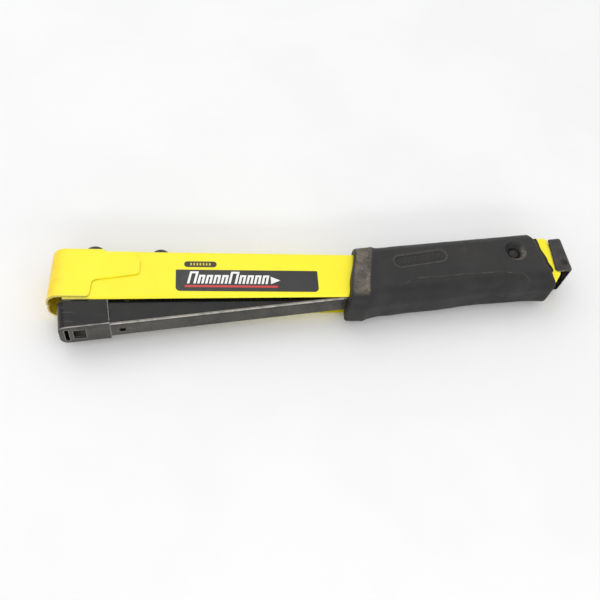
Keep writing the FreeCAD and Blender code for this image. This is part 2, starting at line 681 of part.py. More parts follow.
def nose_cover():
    half = NOSE_HALF
    outside = in_plan(
        [
            (NOSE_FRONT_U, -half, NOSE_CORNER),
            (NOSE_REAR_U, -half),
            (NOSE_REAR_U, half),
            (NOSE_FRONT_U, half, NOSE_CORNER),
        ],
        MAGAZINE_FLOOR,
        NOSE_TOP,
    )

    def round_foot(centre, edge):
        return abs(centre.y - MAGAZINE_FLOOR) < TINY and centre.x < NOSE_REAR_U - TINY

    outside = fillet_where(outside, 1.0, round_foot)
    front = NOSE_FRONT_U + NOSE_WALL
    hollow = in_plan(
        [
            (front, -MAGAZINE_HALF, NOSE_INSIDE_CORNER),
            (NOSE_REAR_U + 5, -MAGAZINE_HALF),
            (NOSE_REAR_U + 5, MAGAZINE_HALF),
            (front, MAGAZINE_HALF, NOSE_INSIDE_CORNER),
        ],
        FLOOR_INSIDE,
        NOSE_TOP + 5,
    )
    outlet = block(SLOT_FRONT, MAGAZINE_FLOOR - 1, SLOT_REAR, FLOOR_INSIDE + 1, SLOT_HALF)
    window_u = SLOT_REAR + WINDOW_BAR
    window = block(
        window_u, MAGAZINE_FLOOR - 1, window_u + WINDOW_LENGTH, FLOOR_INSIDE + 1, WINDOW_HALF
    )
    return moved(outside.cut([hollow, outlet, window]), AT_REST)


def nose_plate():
    """The hardened plate in front of the blade, with its upper corners cut back."""
    front = NOSE_FRONT_U + NOSE_WALL
    half = MAGAZINE_HALF - NOSE_INSIDE_CORNER
    solid = block(front, FLOOR_INSIDE, SLOT_FRONT, GUIDE_TOP, half)

    def upper_corner(centre, edge):
        return abs(centre.y - GUIDE_TOP) < TINY and abs(abs(centre.z) - half) < TINY

    edges = [e for e in solid.Edges if upper_corner(e.CenterOfMass, e)]
    return moved(solid.makeChamfer(2.0, edges), AT_REST)


def spring_strap():
    """The bridge across the magazine's top that the return spring stands on."""
    middle = strap_u()
    strap = block(middle - 8, MAGAZINE_TOP, middle + 8, STRAP_TOP, MAGAZINE_HALF)
    boss_radius = SPRING_RADIUS - SPRING_WIRE / 2 - 1.0
    foot = Vector(middle, STRAP_TOP, 0)
    boss = rod(boss_radius, foot, foot + Vector(0, 1.2, 0))
    return moved(strap.fuse(boss).removeSplitter(), AT_REST)


def stop_pin():
    return moved(cross_rod(STOP_RADIUS, STOP_U, STOP_V, -HALF + 0.2, HALF - 0.2), AT_REST)


# ---- Feeder, drawn in the magazine's axes -------------------------------------------------
def inner_block(u0, u1):
    """A block that slides inside the staple rail."""
    return block(u0, FLOOR_INSIDE + 0.6, u1, CHANNEL_IN_RAIL - RAIL_PLAY, RAIL_INSIDE - RAIL_PLAY)


def pusher():
    rear = PUSHER_FRONT + PUSHER_LENGTH
    leg_outside = MAGAZINE_INSIDE - 0.2
    shoe = block(PUSHER_FRONT, FLOOR_INSIDE + 2.5, rear, PUSHER_TOP, leg_outside)
    over_rail = block(-FAR, -FAR, FAR, RAIL_TOP + 0.1, RAIL_HALF + 0.12)
    web = block(
        PUSHER_BLOCK_FRONT, CHANNEL_IN_RAIL - 1, rear, PUSHER_TOP, RAIL_SLOT / 2 - RAIL_PLAY
    )
    slider = inner_block(PUSHER_BLOCK_FRONT, rear)
    bore = rod(ROD_RADIUS + RUNNING_FIT, Vector(-FAR, ROD_V, 0), Vector(FAR, ROD_V, 0))
    return moved(shoe.cut(over_rail).fuse([web, slider]).cut(bore).removeSplitter(), AT_REST)


def pusher_spring():
    """The long coil on the rod, as a sleeve of its outside size."""
    front = Vector(PUSHER_FRONT + PUSHER_LENGTH, ROD_V, 0)
    rear = Vector(PLUG_FRONT, ROD_V, 0)
    sleeve = rod(ROD_RADIUS + 1.3, front, rear).cut(rod(ROD_RADIUS + 0.3, front, rear))
    return moved(sleeve, AT_REST)


def feed_rod():
    return moved(
        rod(ROD_RADIUS, Vector(ROD_FRONT, ROD_V, 0), Vector(PLUG_FRONT + 9.0, ROD_V, 0)), AT_REST
    )


def end_plug():
    """The block at the rod's rear end. Its tail carries the latch pin."""
    tail_radius = LATCH_PIN_RADIUS + 0.9
    tail = block(RAIL_REAR, ROD_V - tail_radius, LATCH_PIN_U, ROD_V + tail_radius, 3.0)
    eye = cross_rod(tail_radius, LATCH_PIN_U, ROD_V, -3.0, 3.0)
    pin_hole = cross_rod(LATCH_PIN_RADIUS, LATCH_PIN_U, ROD_V, -HALF, HALF)
    rod_hole = rod(ROD_RADIUS, Vector(PLUG_FRONT - 1, ROD_V, 0), Vector(PLUG_FRONT + 9, ROD_V, 0))
    body = inner_block(PLUG_FRONT, RAIL_REAR).fuse([tail, eye]).removeSplitter()
    return moved(body.cut([pin_hole, rod_hole]), AT_REST)


LATCH_FOOT_X = REAR_LOBE_X - 4.1
LATCH_FOOT_Y = PLATE_REAR_Y + 8.4
LATCH_FOOT = (LATCH_FOOT_X, LATCH_FOOT_Y)
LATCH_HEAD = (LATCH_FOOT_X + 0.2, LATCH_FOOT_Y + LATCH_HEIGHT - 1.2)
LATCH_BACK = (LATCH_FOOT_X + LATCH_LEG + 2.1, LATCH_FOOT_Y)
LATCH_BACK_TOP = (LATCH_BACK[0] - 2.2, LATCH_FOOT_Y + LATCH_HEIGHT)


def latch_legs():
    """Z of a leg's inner and outer face."""
    inner = HALF + LATCH_GAP
    return inner, inner + LATCH_SHEET


def latch_pin():
    inner, outer = latch_legs()
    pin = cross_rod(LATCH_PIN_RADIUS, LATCH_PIN_U, ROD_V, -outer, outer)
    heads = [
        dome(2.2, 0.9, Vector(LATCH_PIN_U, ROD_V, side * outer), (0, 0, side)) for side in (-1, 1)
    ]
    return moved(pin.fuse(heads).removeSplitter(), AT_REST)


def rear_latch():
    """The U-shaped clip behind the handle: two legs outside the plates, and a back."""
    inner, outer = latch_legs()
    blank = plate(
        [LATCH_FOOT + (1.5,), LATCH_BACK + (2.0,), LATCH_BACK_TOP + (2.0,), LATCH_HEAD + (1.5,)],
        -outer,
        outer,
    )

    def back_corner(centre, edge):
        line = LATCH_BACK[0] + (centre.y - LATCH_BACK[1]) * (
            (LATCH_BACK_TOP[0] - LATCH_BACK[0]) / (LATCH_BACK_TOP[1] - LATCH_BACK[1])
        )
        return abs(abs(centre.z) - outer) < TINY and abs(centre.x - line) < 0.05

    back_edges = [e for e in blank.Edges if back_corner(e.CenterOfMass, e)]
    blank = blank.makeFillet(1.9, back_edges)
    hollow = plate(
        [
            (LATCH_FOOT[0] - 5, LATCH_FOOT[1] - 5),
            (LATCH_BACK[0] - LATCH_SHEET, LATCH_FOOT[1] - 5),
            (LATCH_BACK[0] - LATCH_SHEET, LATCH_BACK[1]),
            (LATCH_BACK_TOP[0] - LATCH_SHEET, LATCH_BACK_TOP[1]),
            (LATCH_BACK_TOP[0] - LATCH_SHEET, LATCH_BACK_TOP[1] + 5),
            (LATCH_FOOT[0] - 5, LATCH_BACK_TOP[1] + 5),
        ],
        -inner,
        inner,
    )
    eye = AT_REST.multVec(Vector(LATCH_PIN_U, ROD_V, 0))
    holes = cross_rod(LATCH_PIN_RADIUS + RUNNING_FIT, eye.x, eye.y, -outer, outer)
    return blank.cut([hollow, holes])


# ---- Label --------------------------------------------------------------------------------
def flat_label(x, length, top, height, low_radius, high_radius):
    corners = [
        (x, top - height, low_radius),
        (x + length, top - height, low_radius),
        (x + length, top, high_radius),
        (x, top, high_radius),
    ]
    return plate(corners, HALF, HALF + LABEL_SHEET)


def side_label():
    return flat_label(LABEL_X, LABEL_LENGTH, SPINE_Y - LABEL_DROP, LABEL_HEIGHT, 2.6, 0.6)


def badge():
    radius = 0.48 * BADGE_HEIGHT
    return flat_label(BADGE_X, BADGE_LENGTH, SPINE_Y - BADGE_DROP, BADGE_HEIGHT, radius, radius)


# ---- Build --------------------------------------------------------------------------------
NODES = {
    "housing": housing,
    "head_wrap": head_wrap,
    "grip": grip,
    "driver_blade": driver_blade,
    "driver_bracket": driver_bracket,
    "blade_rivets": blade_rivets,
    "driver_screw": driver_screw,
    "spring_screw": spring_screw,
    "spring_seat": spring_seat,
    "return_spring": return_spring,
    "bumper": bumper,
    "pivot_pin": pivot_pin,
    "pivot_spacers": pivot_spacers,
    "side_label": side_label,
    "badge": badge,
    "magazine_channel": magazine_channel,
    "staple_rail": staple_rail,
    "nose_cover": nose_cover,
    "nose_plate": nose_plate,
    "spring_strap": spring_strap,
    "stop_pin": stop_pin,
    "feed_rod": feed_rod,
    "end_plug": end_plug,
    "latch_pin": latch_pin,
    "rear_latch": rear_latch,
    "pusher": pusher,
    "pusher_spring": pusher_spring,
}


def show(name, point):
    """Prints a point of the finished part, in metres."""
    print(f"{name}: {point.x / 1000:.6f}, {point.y / 1000:.6f}, {point.z / 1000:.6f}")


os.makedirs("parts", exist_ok=True)
pieces = {name: make() for name, make in NODES.items()}
box = FreeCAD.BoundBox()
for piece in pieces.values():
    box.add(piece.optimalBoundingBox(False, False))
to_origin = Vector(-box.Center.x, -box.Center.y, -box.ZMin)
for name, piece in pieces.items():
    piece.translate(to_origin)
    piece.exportStep(f"parts/{name}.step")
    print(f"{name}: {len(piece.Solids)} solid(s), {piece.Volume:.1f} mm3, valid {piece.isValid()}")

slope = radians(MAGAZINE_SLOPE)
print(f"box {box.XLength:.2f} x {box.YLength:.2f} x {box.ZLength:.2f} mm")
print(f"magazine direction: {cos(slope):.6f}, {sin(slope):.6f}, 0")
show("pivot", Vector(PIVOT_X, PIVOT_Y, 0) + to_origin)
show("latch pin", AT_REST.multVec(Vector(LATCH_PIN_U, ROD_V, 0)) + to_origin)
show("nose face", AT_REST.multVec(Vector(NOSE_REAR_U - 8, MAGAZINE_FLOOR, 0)) + to_origin)
show("grip side", Vector(BEND_X + 60, PLATE_REAR_Y + 10, -GRIP_HALF) + to_origin)
show("spine face", Vector(BEND_X - 50, SPINE_Y, 0) + to_origin)
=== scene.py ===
# %% [markdown]
# # A hammer tacker around its design
# The tool is a long yellow steel channel. Its rear stretch is the handle, inside a rubber grip.
# A black magazine hangs in it from a pin under the grip and ends in the nose that strikes.
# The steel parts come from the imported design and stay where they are. This script gives them
# their finishes, and makes what a design solid leaves plain: the rubber grip, the two coil
# springs and the printing on the label.

# %% Load the design and keep its box
import json
from math import cos, pi, radians, sin, sqrt, tan

import bmesh
import bpy
from mathutils import Matrix, Vector, noise
from mathutils.bvhtree import BVHTree


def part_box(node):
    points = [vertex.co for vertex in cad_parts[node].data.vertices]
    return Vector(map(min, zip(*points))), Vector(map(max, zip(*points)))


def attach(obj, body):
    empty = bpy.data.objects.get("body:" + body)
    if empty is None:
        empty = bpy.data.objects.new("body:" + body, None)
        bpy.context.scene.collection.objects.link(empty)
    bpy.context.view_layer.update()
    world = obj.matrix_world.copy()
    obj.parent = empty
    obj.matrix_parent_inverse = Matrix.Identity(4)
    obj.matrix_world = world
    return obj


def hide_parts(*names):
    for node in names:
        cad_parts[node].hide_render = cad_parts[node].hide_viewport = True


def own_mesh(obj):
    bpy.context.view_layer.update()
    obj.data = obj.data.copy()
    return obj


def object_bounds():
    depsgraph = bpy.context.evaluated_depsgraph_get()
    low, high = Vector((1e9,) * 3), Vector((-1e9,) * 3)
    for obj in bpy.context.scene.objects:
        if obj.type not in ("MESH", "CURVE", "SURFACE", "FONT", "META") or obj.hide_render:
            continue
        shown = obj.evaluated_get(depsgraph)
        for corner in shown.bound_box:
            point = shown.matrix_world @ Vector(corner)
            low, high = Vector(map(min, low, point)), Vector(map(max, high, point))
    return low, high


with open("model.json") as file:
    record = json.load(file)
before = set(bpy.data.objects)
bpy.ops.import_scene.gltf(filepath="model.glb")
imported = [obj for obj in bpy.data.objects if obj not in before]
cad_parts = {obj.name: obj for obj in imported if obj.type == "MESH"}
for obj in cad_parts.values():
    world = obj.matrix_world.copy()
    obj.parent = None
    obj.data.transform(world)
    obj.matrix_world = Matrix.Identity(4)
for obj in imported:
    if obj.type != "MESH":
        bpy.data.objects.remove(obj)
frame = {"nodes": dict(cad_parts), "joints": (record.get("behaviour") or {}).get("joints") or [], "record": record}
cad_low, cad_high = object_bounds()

print("size in mm:", [round(1000 * (b - a), 1) for a, b in zip(cad_low, cad_high)])

# %% [markdown]
# ## Drawing in millimetres
# A scene is in metres, with its origin under the middle of the tool. The pieces of a hand tool
# are easier to think of in millimetres from the front of its head, so new pieces are drawn that
# way: X runs back along the tool, Y goes up from the head's foot to the spine, and Z is zero on
# the tool's mid-plane. One matrix then puts every finished mesh in its place, and the objects
# stay at the origin, unturned and unscaled, as the design's own nodes are.

# %% Where the drawing's origin lies
MM = 0.001
WRAP_TOP = 32.2             # top of the head over its foot
head_low, head_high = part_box("head_wrap")
housing_low, housing_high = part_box("housing")
mid_plane = (housing_low.z + housing_high.z) / 2
drawing_origin = Vector((head_low.x, head_high.y - WRAP_TOP * MM, mid_plane))
FROM_DRAWING = Matrix.Translation(drawing_origin) @ Matrix.Scale(MM, 4)


def to_drawing(point):
    """A point of the scene, in the drawing's millimetres."""
    return (Vector(point) - drawing_origin) / MM


print("drawing origin:", [round(value, 4) for value in drawing_origin])

# %% [markdown]
# ## The camera
# The tool lies on its side on a table. The camera stands over it, a little to the front and
# to the left, and leans as a hand-held camera does. A short telephoto from half a metre keeps
# some perspective, so the head looks a little smaller than the grip.

# %% Camera
CAMERA_PLACE = (-0.0749, -0.23644, 0.3852)
CAMERA_TURN = (31.600, -7.061, -3.927)
CAMERA_LENS = 45.53
camera_data = bpy.data.cameras.new("camera")
camera_data.lens = CAMERA_LENS
camera_data.clip_start = 0.01
camera = bpy.data.objects.new("camera", camera_data)
camera.location = CAMERA_PLACE
camera.rotation_euler = [radians(angle) for angle in CAMERA_TURN]
bpy.context.scene.collection.objects.link(camera)
bpy.context.scene.camera = camera
print("camera", CAMERA_LENS, "mm lens")

# %% [markdown]
# ## The light
# Paint and rubber are told apart by how they reflect, so they need something pale to reflect.
# A pale world gives even light from all round, with hardly any shadow. A wide lamp high up on
# the spine's side shapes the grip, and a long low lamp lies in front of the magazine's bend, whose
# bright line is a painted highlight in the black paint. The colours are shown without a film look.

# %% World and lamps
WORLD_STRENGTH = 0.93
scene = bpy.context.scene
scene.view_settings.view_transform = "Standard"
world = bpy.data.worlds.new("studio")
world.use_nodes = True
world.node_tree.nodes["Background"].inputs["Color"].default_value = (1.0, 1.0, 1.0, 1.0)
world.node_tree.nodes["Background"].inputs["Strength"].default_value = WORLD_STRENGTH
scene.world = world


def lamp(name, place, width, height, power):
    """A flat lamp that shines at the middle of the tool."""
    data = bpy.data.lights.new(name, "AREA")
    data.shape = "RECTANGLE"
    data.size = width
    data.size_y = height
    data.energy = power
    made = bpy.data.objects.new(name, data)
    made.location = place
    made.rotation_euler = Vector(place).to_track_quat("Z", "Y").to_euler()
    scene.collection.objects.link(made)
    return made


lamp("lamp_over", (-0.35, 0.55, 1.1), 0.9, 0.9, 2.2)
lamp("lamp_front", (0.05, -1.05, 0.62), 1.5, 0.16, 3.6)

# %% [markdown]
# ## Helpers for materials
# A material is a small graph of nodes. These helpers add a node and fill its sockets in one
# line each, so that a finish reads as a recipe: what it is made of, and how much of each.


# %% Node helpers
def add(tree, kind, values=None, **settings):
    """Adds a shader node. values fills its input sockets with numbers or with links."""
    made = tree.nodes.new("ShaderNode" + kind)
    for name, value in settings.items():
        setattr(made, name, value)
    for name, value in (values or {}).items():
        if isinstance(value, bpy.types.NodeSocket):
            tree.links.new(value, made.inputs[name])
        else:
            made.inputs[name].default_value = value
    return made


def maths(tree, operation, a, b=0.0):
    """One sum on two values."""
    return add(tree, "Math", {0: a, 1: b}, operation=operation, use_clamp=False).outputs[0]


def ramp(tree, value, low, high, to_low=0.0, to_high=1.0):
    """A value that goes smoothly from to_low to to_high while value goes from low to high."""
    inputs = {"Value": value, 1: low, 2: high, 3: to_low, 4: to_high}
    made = add(tree, "MapRange", inputs, interpolation_type="SMOOTHSTEP")
    return made.outputs["Result"]


def mixed(tree, share, a, b):
    """Colour a with a share of colour b over it."""
    MIX_A, MIX_B, MIX_RESULT = 6, 7, 2
    made = add(tree, "Mix", {0: share, MIX_A: a, MIX_B: b}, data_type="RGBA")
    return made.outputs[MIX_RESULT]


def spots(tree, coordinates, scale, detail=3.0, roughness=0.55):
    """Cloudy noise about 0.5."""
    inputs = {"Vector": coordinates, "Scale": scale, "Detail": detail, "Roughness": roughness}
    return add(tree, "TexNoise", inputs).outputs["Fac"]


def place_on(tree):
    """Object coordinates: the scene's own metres, because every object is at the origin."""
    return add(tree, "TexCoord").outputs["Object"]


def grey(level):
    return (level, level, level, 1.0)


print("node helpers ready")

# %% [markdown]
# ## Effects that several finishes share
# Edge wear, dust, scratches and grain turn up in paint, rubber and bare steel alike. Each is a
# node group, built once, with its strength as an input. A group gives out only a mask or a
# height, and the material decides what that mask does.


# %% Group helper
def effect(name, inputs, output):
    """A new node group with number inputs, Object coordinates inside and one number output."""
    tree = bpy.data.node_groups.new(name, "ShaderNodeTree")
    for label, value in inputs.items():
        socket = tree.interface.new_socket(label, in_out="INPUT", socket_type="NodeSocketFloat")
        socket.default_value = value
    tree.interface.new_socket(output, in_out="OUTPUT", socket_type="NodeSocketFloat")
    entry = tree.nodes.new("NodeGroupInput")
    leave = tree.nodes.new("NodeGroupOutput")
    return tree, entry.outputs, leave.inputs[output]


def use(tree, group, **values):
    """Places a group in a material with its own values and gives its output."""
    made = tree.nodes.new("ShaderNodeGroup")
    made.node_tree = group
    for name, value in values.items():
        socket = made.inputs[name.replace("_", " ")]
        if isinstance(value, bpy.types.NodeSocket):
            tree.links.new(value, socket)
        else:
            socket.default_value = value
    return made.outputs[0]


# %% [markdown]
# ### Edge wear
# Paint goes first where two faces meet. The Bevel node gives the normal that a rounded edge
# would have, so where it differs from the true one there is an edge. Noise breaks the line up.

# %% Edge wear group
tree, given, out = effect("edge_wear", {"Width": 0.0005, "Spot scale": 900.0, "Amount": 0.5}, "Mask")
rounded = add(tree, "Bevel", {"Radius": given["Width"]}, samples=4).outputs["Normal"]
true_normal = add(tree, "NewGeometry").outputs["Normal"]
match = add(tree, "VectorMath", {0: rounded, 1: true_normal}, operation="DOT_PRODUCT")
at_edge = ramp(tree, match.outputs["Value"], 0.985, 0.86)
broken = spots(tree, place_on(tree), given["Spot scale"], 4.0)
start = maths(tree, "SUBTRACT", 0.86, maths(tree, "MULTIPLY", given["Amount"], 0.75))
chipped = ramp(tree, broken, start, maths(tree, "ADD", start, 0.14))
tree.links.new(maths(tree, "MULTIPLY", at_edge, chipped), out)
EDGE_WEAR = tree

# %% [markdown]
# ### Dust, scratches, grain and dirt in corners
# Dust is large soft clouds cut up by fine ones. A scratch is noise pulled out along one
# direction until only thin threads pass the threshold. Grain is a fine height for rubber and
# for cast or plated surfaces. Dirt in corners asks how shut in a spot is.

# %% Dust group
tree, given, out = effect("dust", {"Scale": 60.0, "Cover": 0.4}, "Mask")
here = place_on(tree)
clouds = spots(tree, here, given["Scale"], 5.0, 0.65)
fine = spots(tree, here, maths(tree, "MULTIPLY", given["Scale"], 14.0), 3.0, 0.7)
cloudy = ramp(tree, clouds, maths(tree, "SUBTRACT", 0.75, given["Cover"]), 0.85)
tree.links.new(maths(tree, "MULTIPLY", cloudy, ramp(tree, fine, 0.25, 0.65, 0.35, 1.0)), out)
DUST = tree

# %% Scratch group
tree, given, out = effect("scratches", {"Along": 30.0, "Across": 1600.0, "Amount": 0.4}, "Mask")
stretch = add(tree, "CombineXYZ", {0: given["Along"], 1: given["Across"], 2: given["Across"]})
pulled = add(
    tree,
    "Mapping",
    {"Vector": place_on(tree), "Scale": stretch.outputs[0], "Rotation": (0.0, 0.0, radians(7))},
)
threads = spots(tree, pulled.outputs[0], 1.0, 2.0, 0.5)
start = maths(tree, "SUBTRACT", 0.80, maths(tree, "MULTIPLY", given["Amount"], 0.22))
tree.links.new(ramp(tree, threads, start, maths(tree, "ADD", start, 0.05)), out)
SCRATCHES = tree

# %% Grain group
tree, given, out = effect("grain", {"Scale": 1500.0}, "Height")
here = place_on(tree)
cells = add(tree, "TexVoronoi", {"Vector": here, "Scale": given["Scale"]}).outputs["Distance"]
cloud = spots(tree, here, given["Scale"], 4.0, 0.6)
tree.links.new(maths(tree, "ADD", maths(tree, "MULTIPLY", cells, 0.5), cloud), out)
GRAIN = tree

# %% Corner dirt group
tree, given, out = effect("corner_dirt", {"Reach": 0.002, "Amount": 0.5}, "Mask")
shut_in = add(tree, "AmbientOcclusion", {"Distance": given["Reach"]}, samples=4).outputs["AO"]
patchy = spots(tree, place_on(tree), 260.0, 5.0, 0.7)
low_open = ramp(tree, shut_in, 0.80, 0.25)
dirty = maths(tree, "MULTIPLY", low_open, ramp(tree, patchy, 0.30, 0.62, 0.35, 1.0))
tree.links.new(maths(tree, "MULTIPLY", dirty, given["Amount"]), out)
CORNER_DIRT = tree
print("effects:", [group.name for group in bpy.data.node_groups])


# %% [markdown]
# ## Starting a material
# Every finish ends in one Principled shader. Numbers that are the same all over are set on its
# own sockets, and only what changes over the surface is linked.


# %% Material helper
def finish(name, roughness, metallic=0.0, specular=0.5):
    """A new material: its node tree and its Principled shader."""
    material = bpy.data.materials.new(name)
    material.use_nodes = True
    shader = material.node_tree.nodes["Principled BSDF"]
    shader.inputs["Roughness"].default_value = roughness
    shader.inputs["Metallic"].default_value = metallic
    shader.inputs["Specular IOR Level"].default_value = specular
    return material, material.node_tree, shader.inputs


def feed(tree, sockets, **values):
    """Links values to the shader's sockets."""
    for name, value in values.items():
        tree.links.new(value, sockets[name.replace("_", " ")])


def bumped(tree, height, depth, strength=1.0):
    """A normal from a height, whose full range is depth metres."""
    inputs = {"Height": height, "Distance": depth, "Strength": strength}
    return add(tree, "Bump", inputs).outputs["Normal"]


def any_of(tree, *masks):
    """The strongest of several masks."""
    strongest = masks[0]
    for mask in masks[1:]:
        strongest = maths(tree, "MAXIMUM", strongest, mask)
    return strongest


def axis_of(tree, axis):
    """One Object coordinate, 0 for X, 1 for Y and 2 for Z, in metres."""
    return add(tree, "SeparateXYZ", {0: place_on(tree)}).outputs[axis]


def facing(tree, axis):
    """How far the surface faces along an axis of the tool."""
    normal = add(tree, "TexCoord").outputs["Normal"]
    return add(tree, "SeparateXYZ", {0: normal}).outputs[axis]


print("material helpers ready")

# %% [markdown]
# ## Yellow paint
# The channel and the head are lemon yellow enamel over steel. It is smooth with a faint orange
# peel. The rounded front of the head is painted orange in patches, as painted shade. Years of
# striking have put dirt in the steps and taken the paint off the foot of the head down to grey metal.

# %% Yellow paint
material, tree, shader = finish("yellow_paint", 0.34)
LEMON = (0.94, 0.83, 0.010, 1.0)
DEEP_LEMON = (0.92, 0.77, 0.009, 1.0)
ORANGE_SHADE = (0.80, 0.42, 0.035, 1.0)
GRIME = (0.20, 0.13, 0.035, 1.0)
BARE_STEEL = (0.20, 0.19, 0.175, 1.0)
here = place_on(tree)
paint = mixed(tree, ramp(tree, spots(tree, here, 25.0), 0.35, 0.75, 0.0, 0.5), LEMON, DEEP_LEMON)
# Painted shade: an orange tint over the first 11 mm of the head's rounded front, in patches.
head_end = ramp(tree, axis_of(tree, 0), head_low.x + 0.011, head_low.x + 0.001, 0.0, 1.0)
orange_shade_patches = ramp(tree, spots(tree, here, 130.0, 6.0, 0.7), 0.36, 0.68, 0.30, 0.85)
paint = mixed(tree, maths(tree, "MULTIPLY", head_end, orange_shade_patches), paint, ORANGE_SHADE)
specks = ramp(tree, spots(tree, here, 1400.0, 2.0), 0.73, 0.78, 0.0, 0.5)
corners = use(tree, CORNER_DIRT, Reach=0.0016, Amount=0.75)
marks = maths(tree, "MULTIPLY", use(tree, SCRATCHES, Along=25.0, Across=900.0, Amount=0.2), 0.5)
paint = mixed(tree, any_of(tree, corners, specks, marks), paint, GRIME)
foot = ramp(tree, axis_of(tree, 1), head_low.y + 0.0042, head_low.y + 0.0012)
front = ramp(tree, axis_of(tree, 0), head_low.x + 0.027, head_low.x + 0.020)
worn_foot = maths(tree, "MULTIPLY", foot, front)
foot_edge = use(tree, EDGE_WEAR, Width=0.0014, Spot_scale=420.0, Amount=0.95)
worn_foot = maths(tree, "MULTIPLY", worn_foot, foot_edge)
nicks = use(tree, EDGE_WEAR, Width=0.0006, Spot_scale=260.0, Amount=0.34)
bare = any_of(tree, worn_foot, nicks)
feed(
    tree,
    shader,
    Base_Color=mixed(tree, bare, paint, BARE_STEEL),
    Metallic=maths(tree, "MULTIPLY", bare, 0.7),
    Roughness=ramp(tree, spots(tree, here, 90.0, 4.0), 0.3, 0.7, 0.27, 0.40),
    Normal=bumped(tree, spots(tree, here, 700.0, 2.0), 0.00002, 0.6),
)
YELLOW = material

# %% [markdown]
# ## Black paint
# The magazine and the nose are black enamel. Their sides are nearly clean. The underside, which
# meets the work, is greyer with fine dust, and the nose is scuffed brown and bright along its
# lower edges. Along the long lower bends a pale line is painted as a highlight, the reflection
# that lies on the bends: the mask for that looks for faces that point half sideways and half down.

# %% Black paint
material, tree, shader = finish("black_paint", 0.30, specular=0.30)
nose_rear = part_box("nose_cover")[1].x
BLACK = (0.0045, 0.0048, 0.0050, 1.0)
BLACK_WARM = (0.0085, 0.0078, 0.0065, 1.0)
PALE_DUST = (0.105, 0.100, 0.088, 1.0)
RUBBED_AND_HIGHLIGHT = (0.33, 0.31, 0.28, 1.0)
here = place_on(tree)
paint = mixed(tree, ramp(tree, spots(tree, here, 120.0, 5.0), 0.4, 0.7), BLACK, BLACK_WARM)
under = ramp(tree, facing(tree, 1), -0.86, -0.97)
under_dust = maths(tree, "MULTIPLY", under, use(tree, DUST, Scale=45.0, Cover=0.62))
near_nose = ramp(tree, axis_of(tree, 0), nose_rear + 0.006, nose_rear - 0.002)
scuffs = use(tree, SCRATCHES, Along=60.0, Across=700.0, Amount=0.62)
nose_scuffs = maths(tree, "MULTIPLY", near_nose, maths(tree, "MULTIPLY", scuffs, 0.30))
thin_scuffs = use(tree, SCRATCHES, Along=18.0, Across=1500.0, Amount=0.32)
side_scuffs = maths(tree, "MULTIPLY", thin_scuffs, 0.12)
corners = use(tree, CORNER_DIRT, Reach=0.0014, Amount=0.25)
dusty = any_of(tree, maths(tree, "MULTIPLY", under_dust, 1.0), nose_scuffs, side_scuffs, corners)
nose_edges = use(tree, EDGE_WEAR, Width=0.0009, Spot_scale=700.0, Amount=0.72)
other_edges = use(tree, EDGE_WEAR, Width=0.0006, Spot_scale=300.0, Amount=0.55)
# Painted highlight: the long lower bends get a pale, metallic line that stands for their reflection.
sideways = maths(tree, "ABSOLUTE", facing(tree, 2))
on_bend = maths(
    tree,
    "MULTIPLY",
    ramp(tree, sideways, 0.42, 0.60),
    ramp(tree, facing(tree, 1), -0.22, -0.42),
)
uneven = ramp(tree, spots(tree, here, 210.0, 5.0, 0.65), 0.28, 0.62, 0.50, 0.95)
painted_bend_highlight = maths(tree, "MULTIPLY", on_bend, uneven)
# rubbed holds real edge wear and the painted highlight on the bends.
rubbed = any_of(
    tree,
    maths(tree, "MULTIPLY", near_nose, nose_edges),
    maths(tree, "MULTIPLY", other_edges, 0.6),
    painted_bend_highlight,
)
feed(
    tree,
    shader,
    Base_Color=mixed(tree, rubbed, mixed(tree, dusty, paint, PALE_DUST), RUBBED_AND_HIGHLIGHT),
    Metallic=maths(tree, "MULTIPLY", rubbed, 0.6),
    Roughness=maths(tree, "ADD", ramp(tree, spots(tree, here, 160.0, 4.0), 0.3, 0.7, 0.20, 0.31),
                    maths(tree, "MULTIPLY", dusty, 0.3)),
    Normal=bumped(tree, spots(tree, here, 800.0, 3.0), 0.00003, 0.6),
)
BLACK_PAINT = material
print("paints:", YELLOW.name, BLACK_PAINT.name)

# %% [markdown]
# ## Rubber
# The grip is moulded black rubber, matt with a fine grain, paler where hands and floors have
# rubbed it, and painted paler on the spine side, as painted light. Where dust has settled is worked
# out with the grip's shape, further on, and kept in the mesh as an attribute called dust, which
# this finish reads; that attribute also carries painted light at the dimple and along the crease.


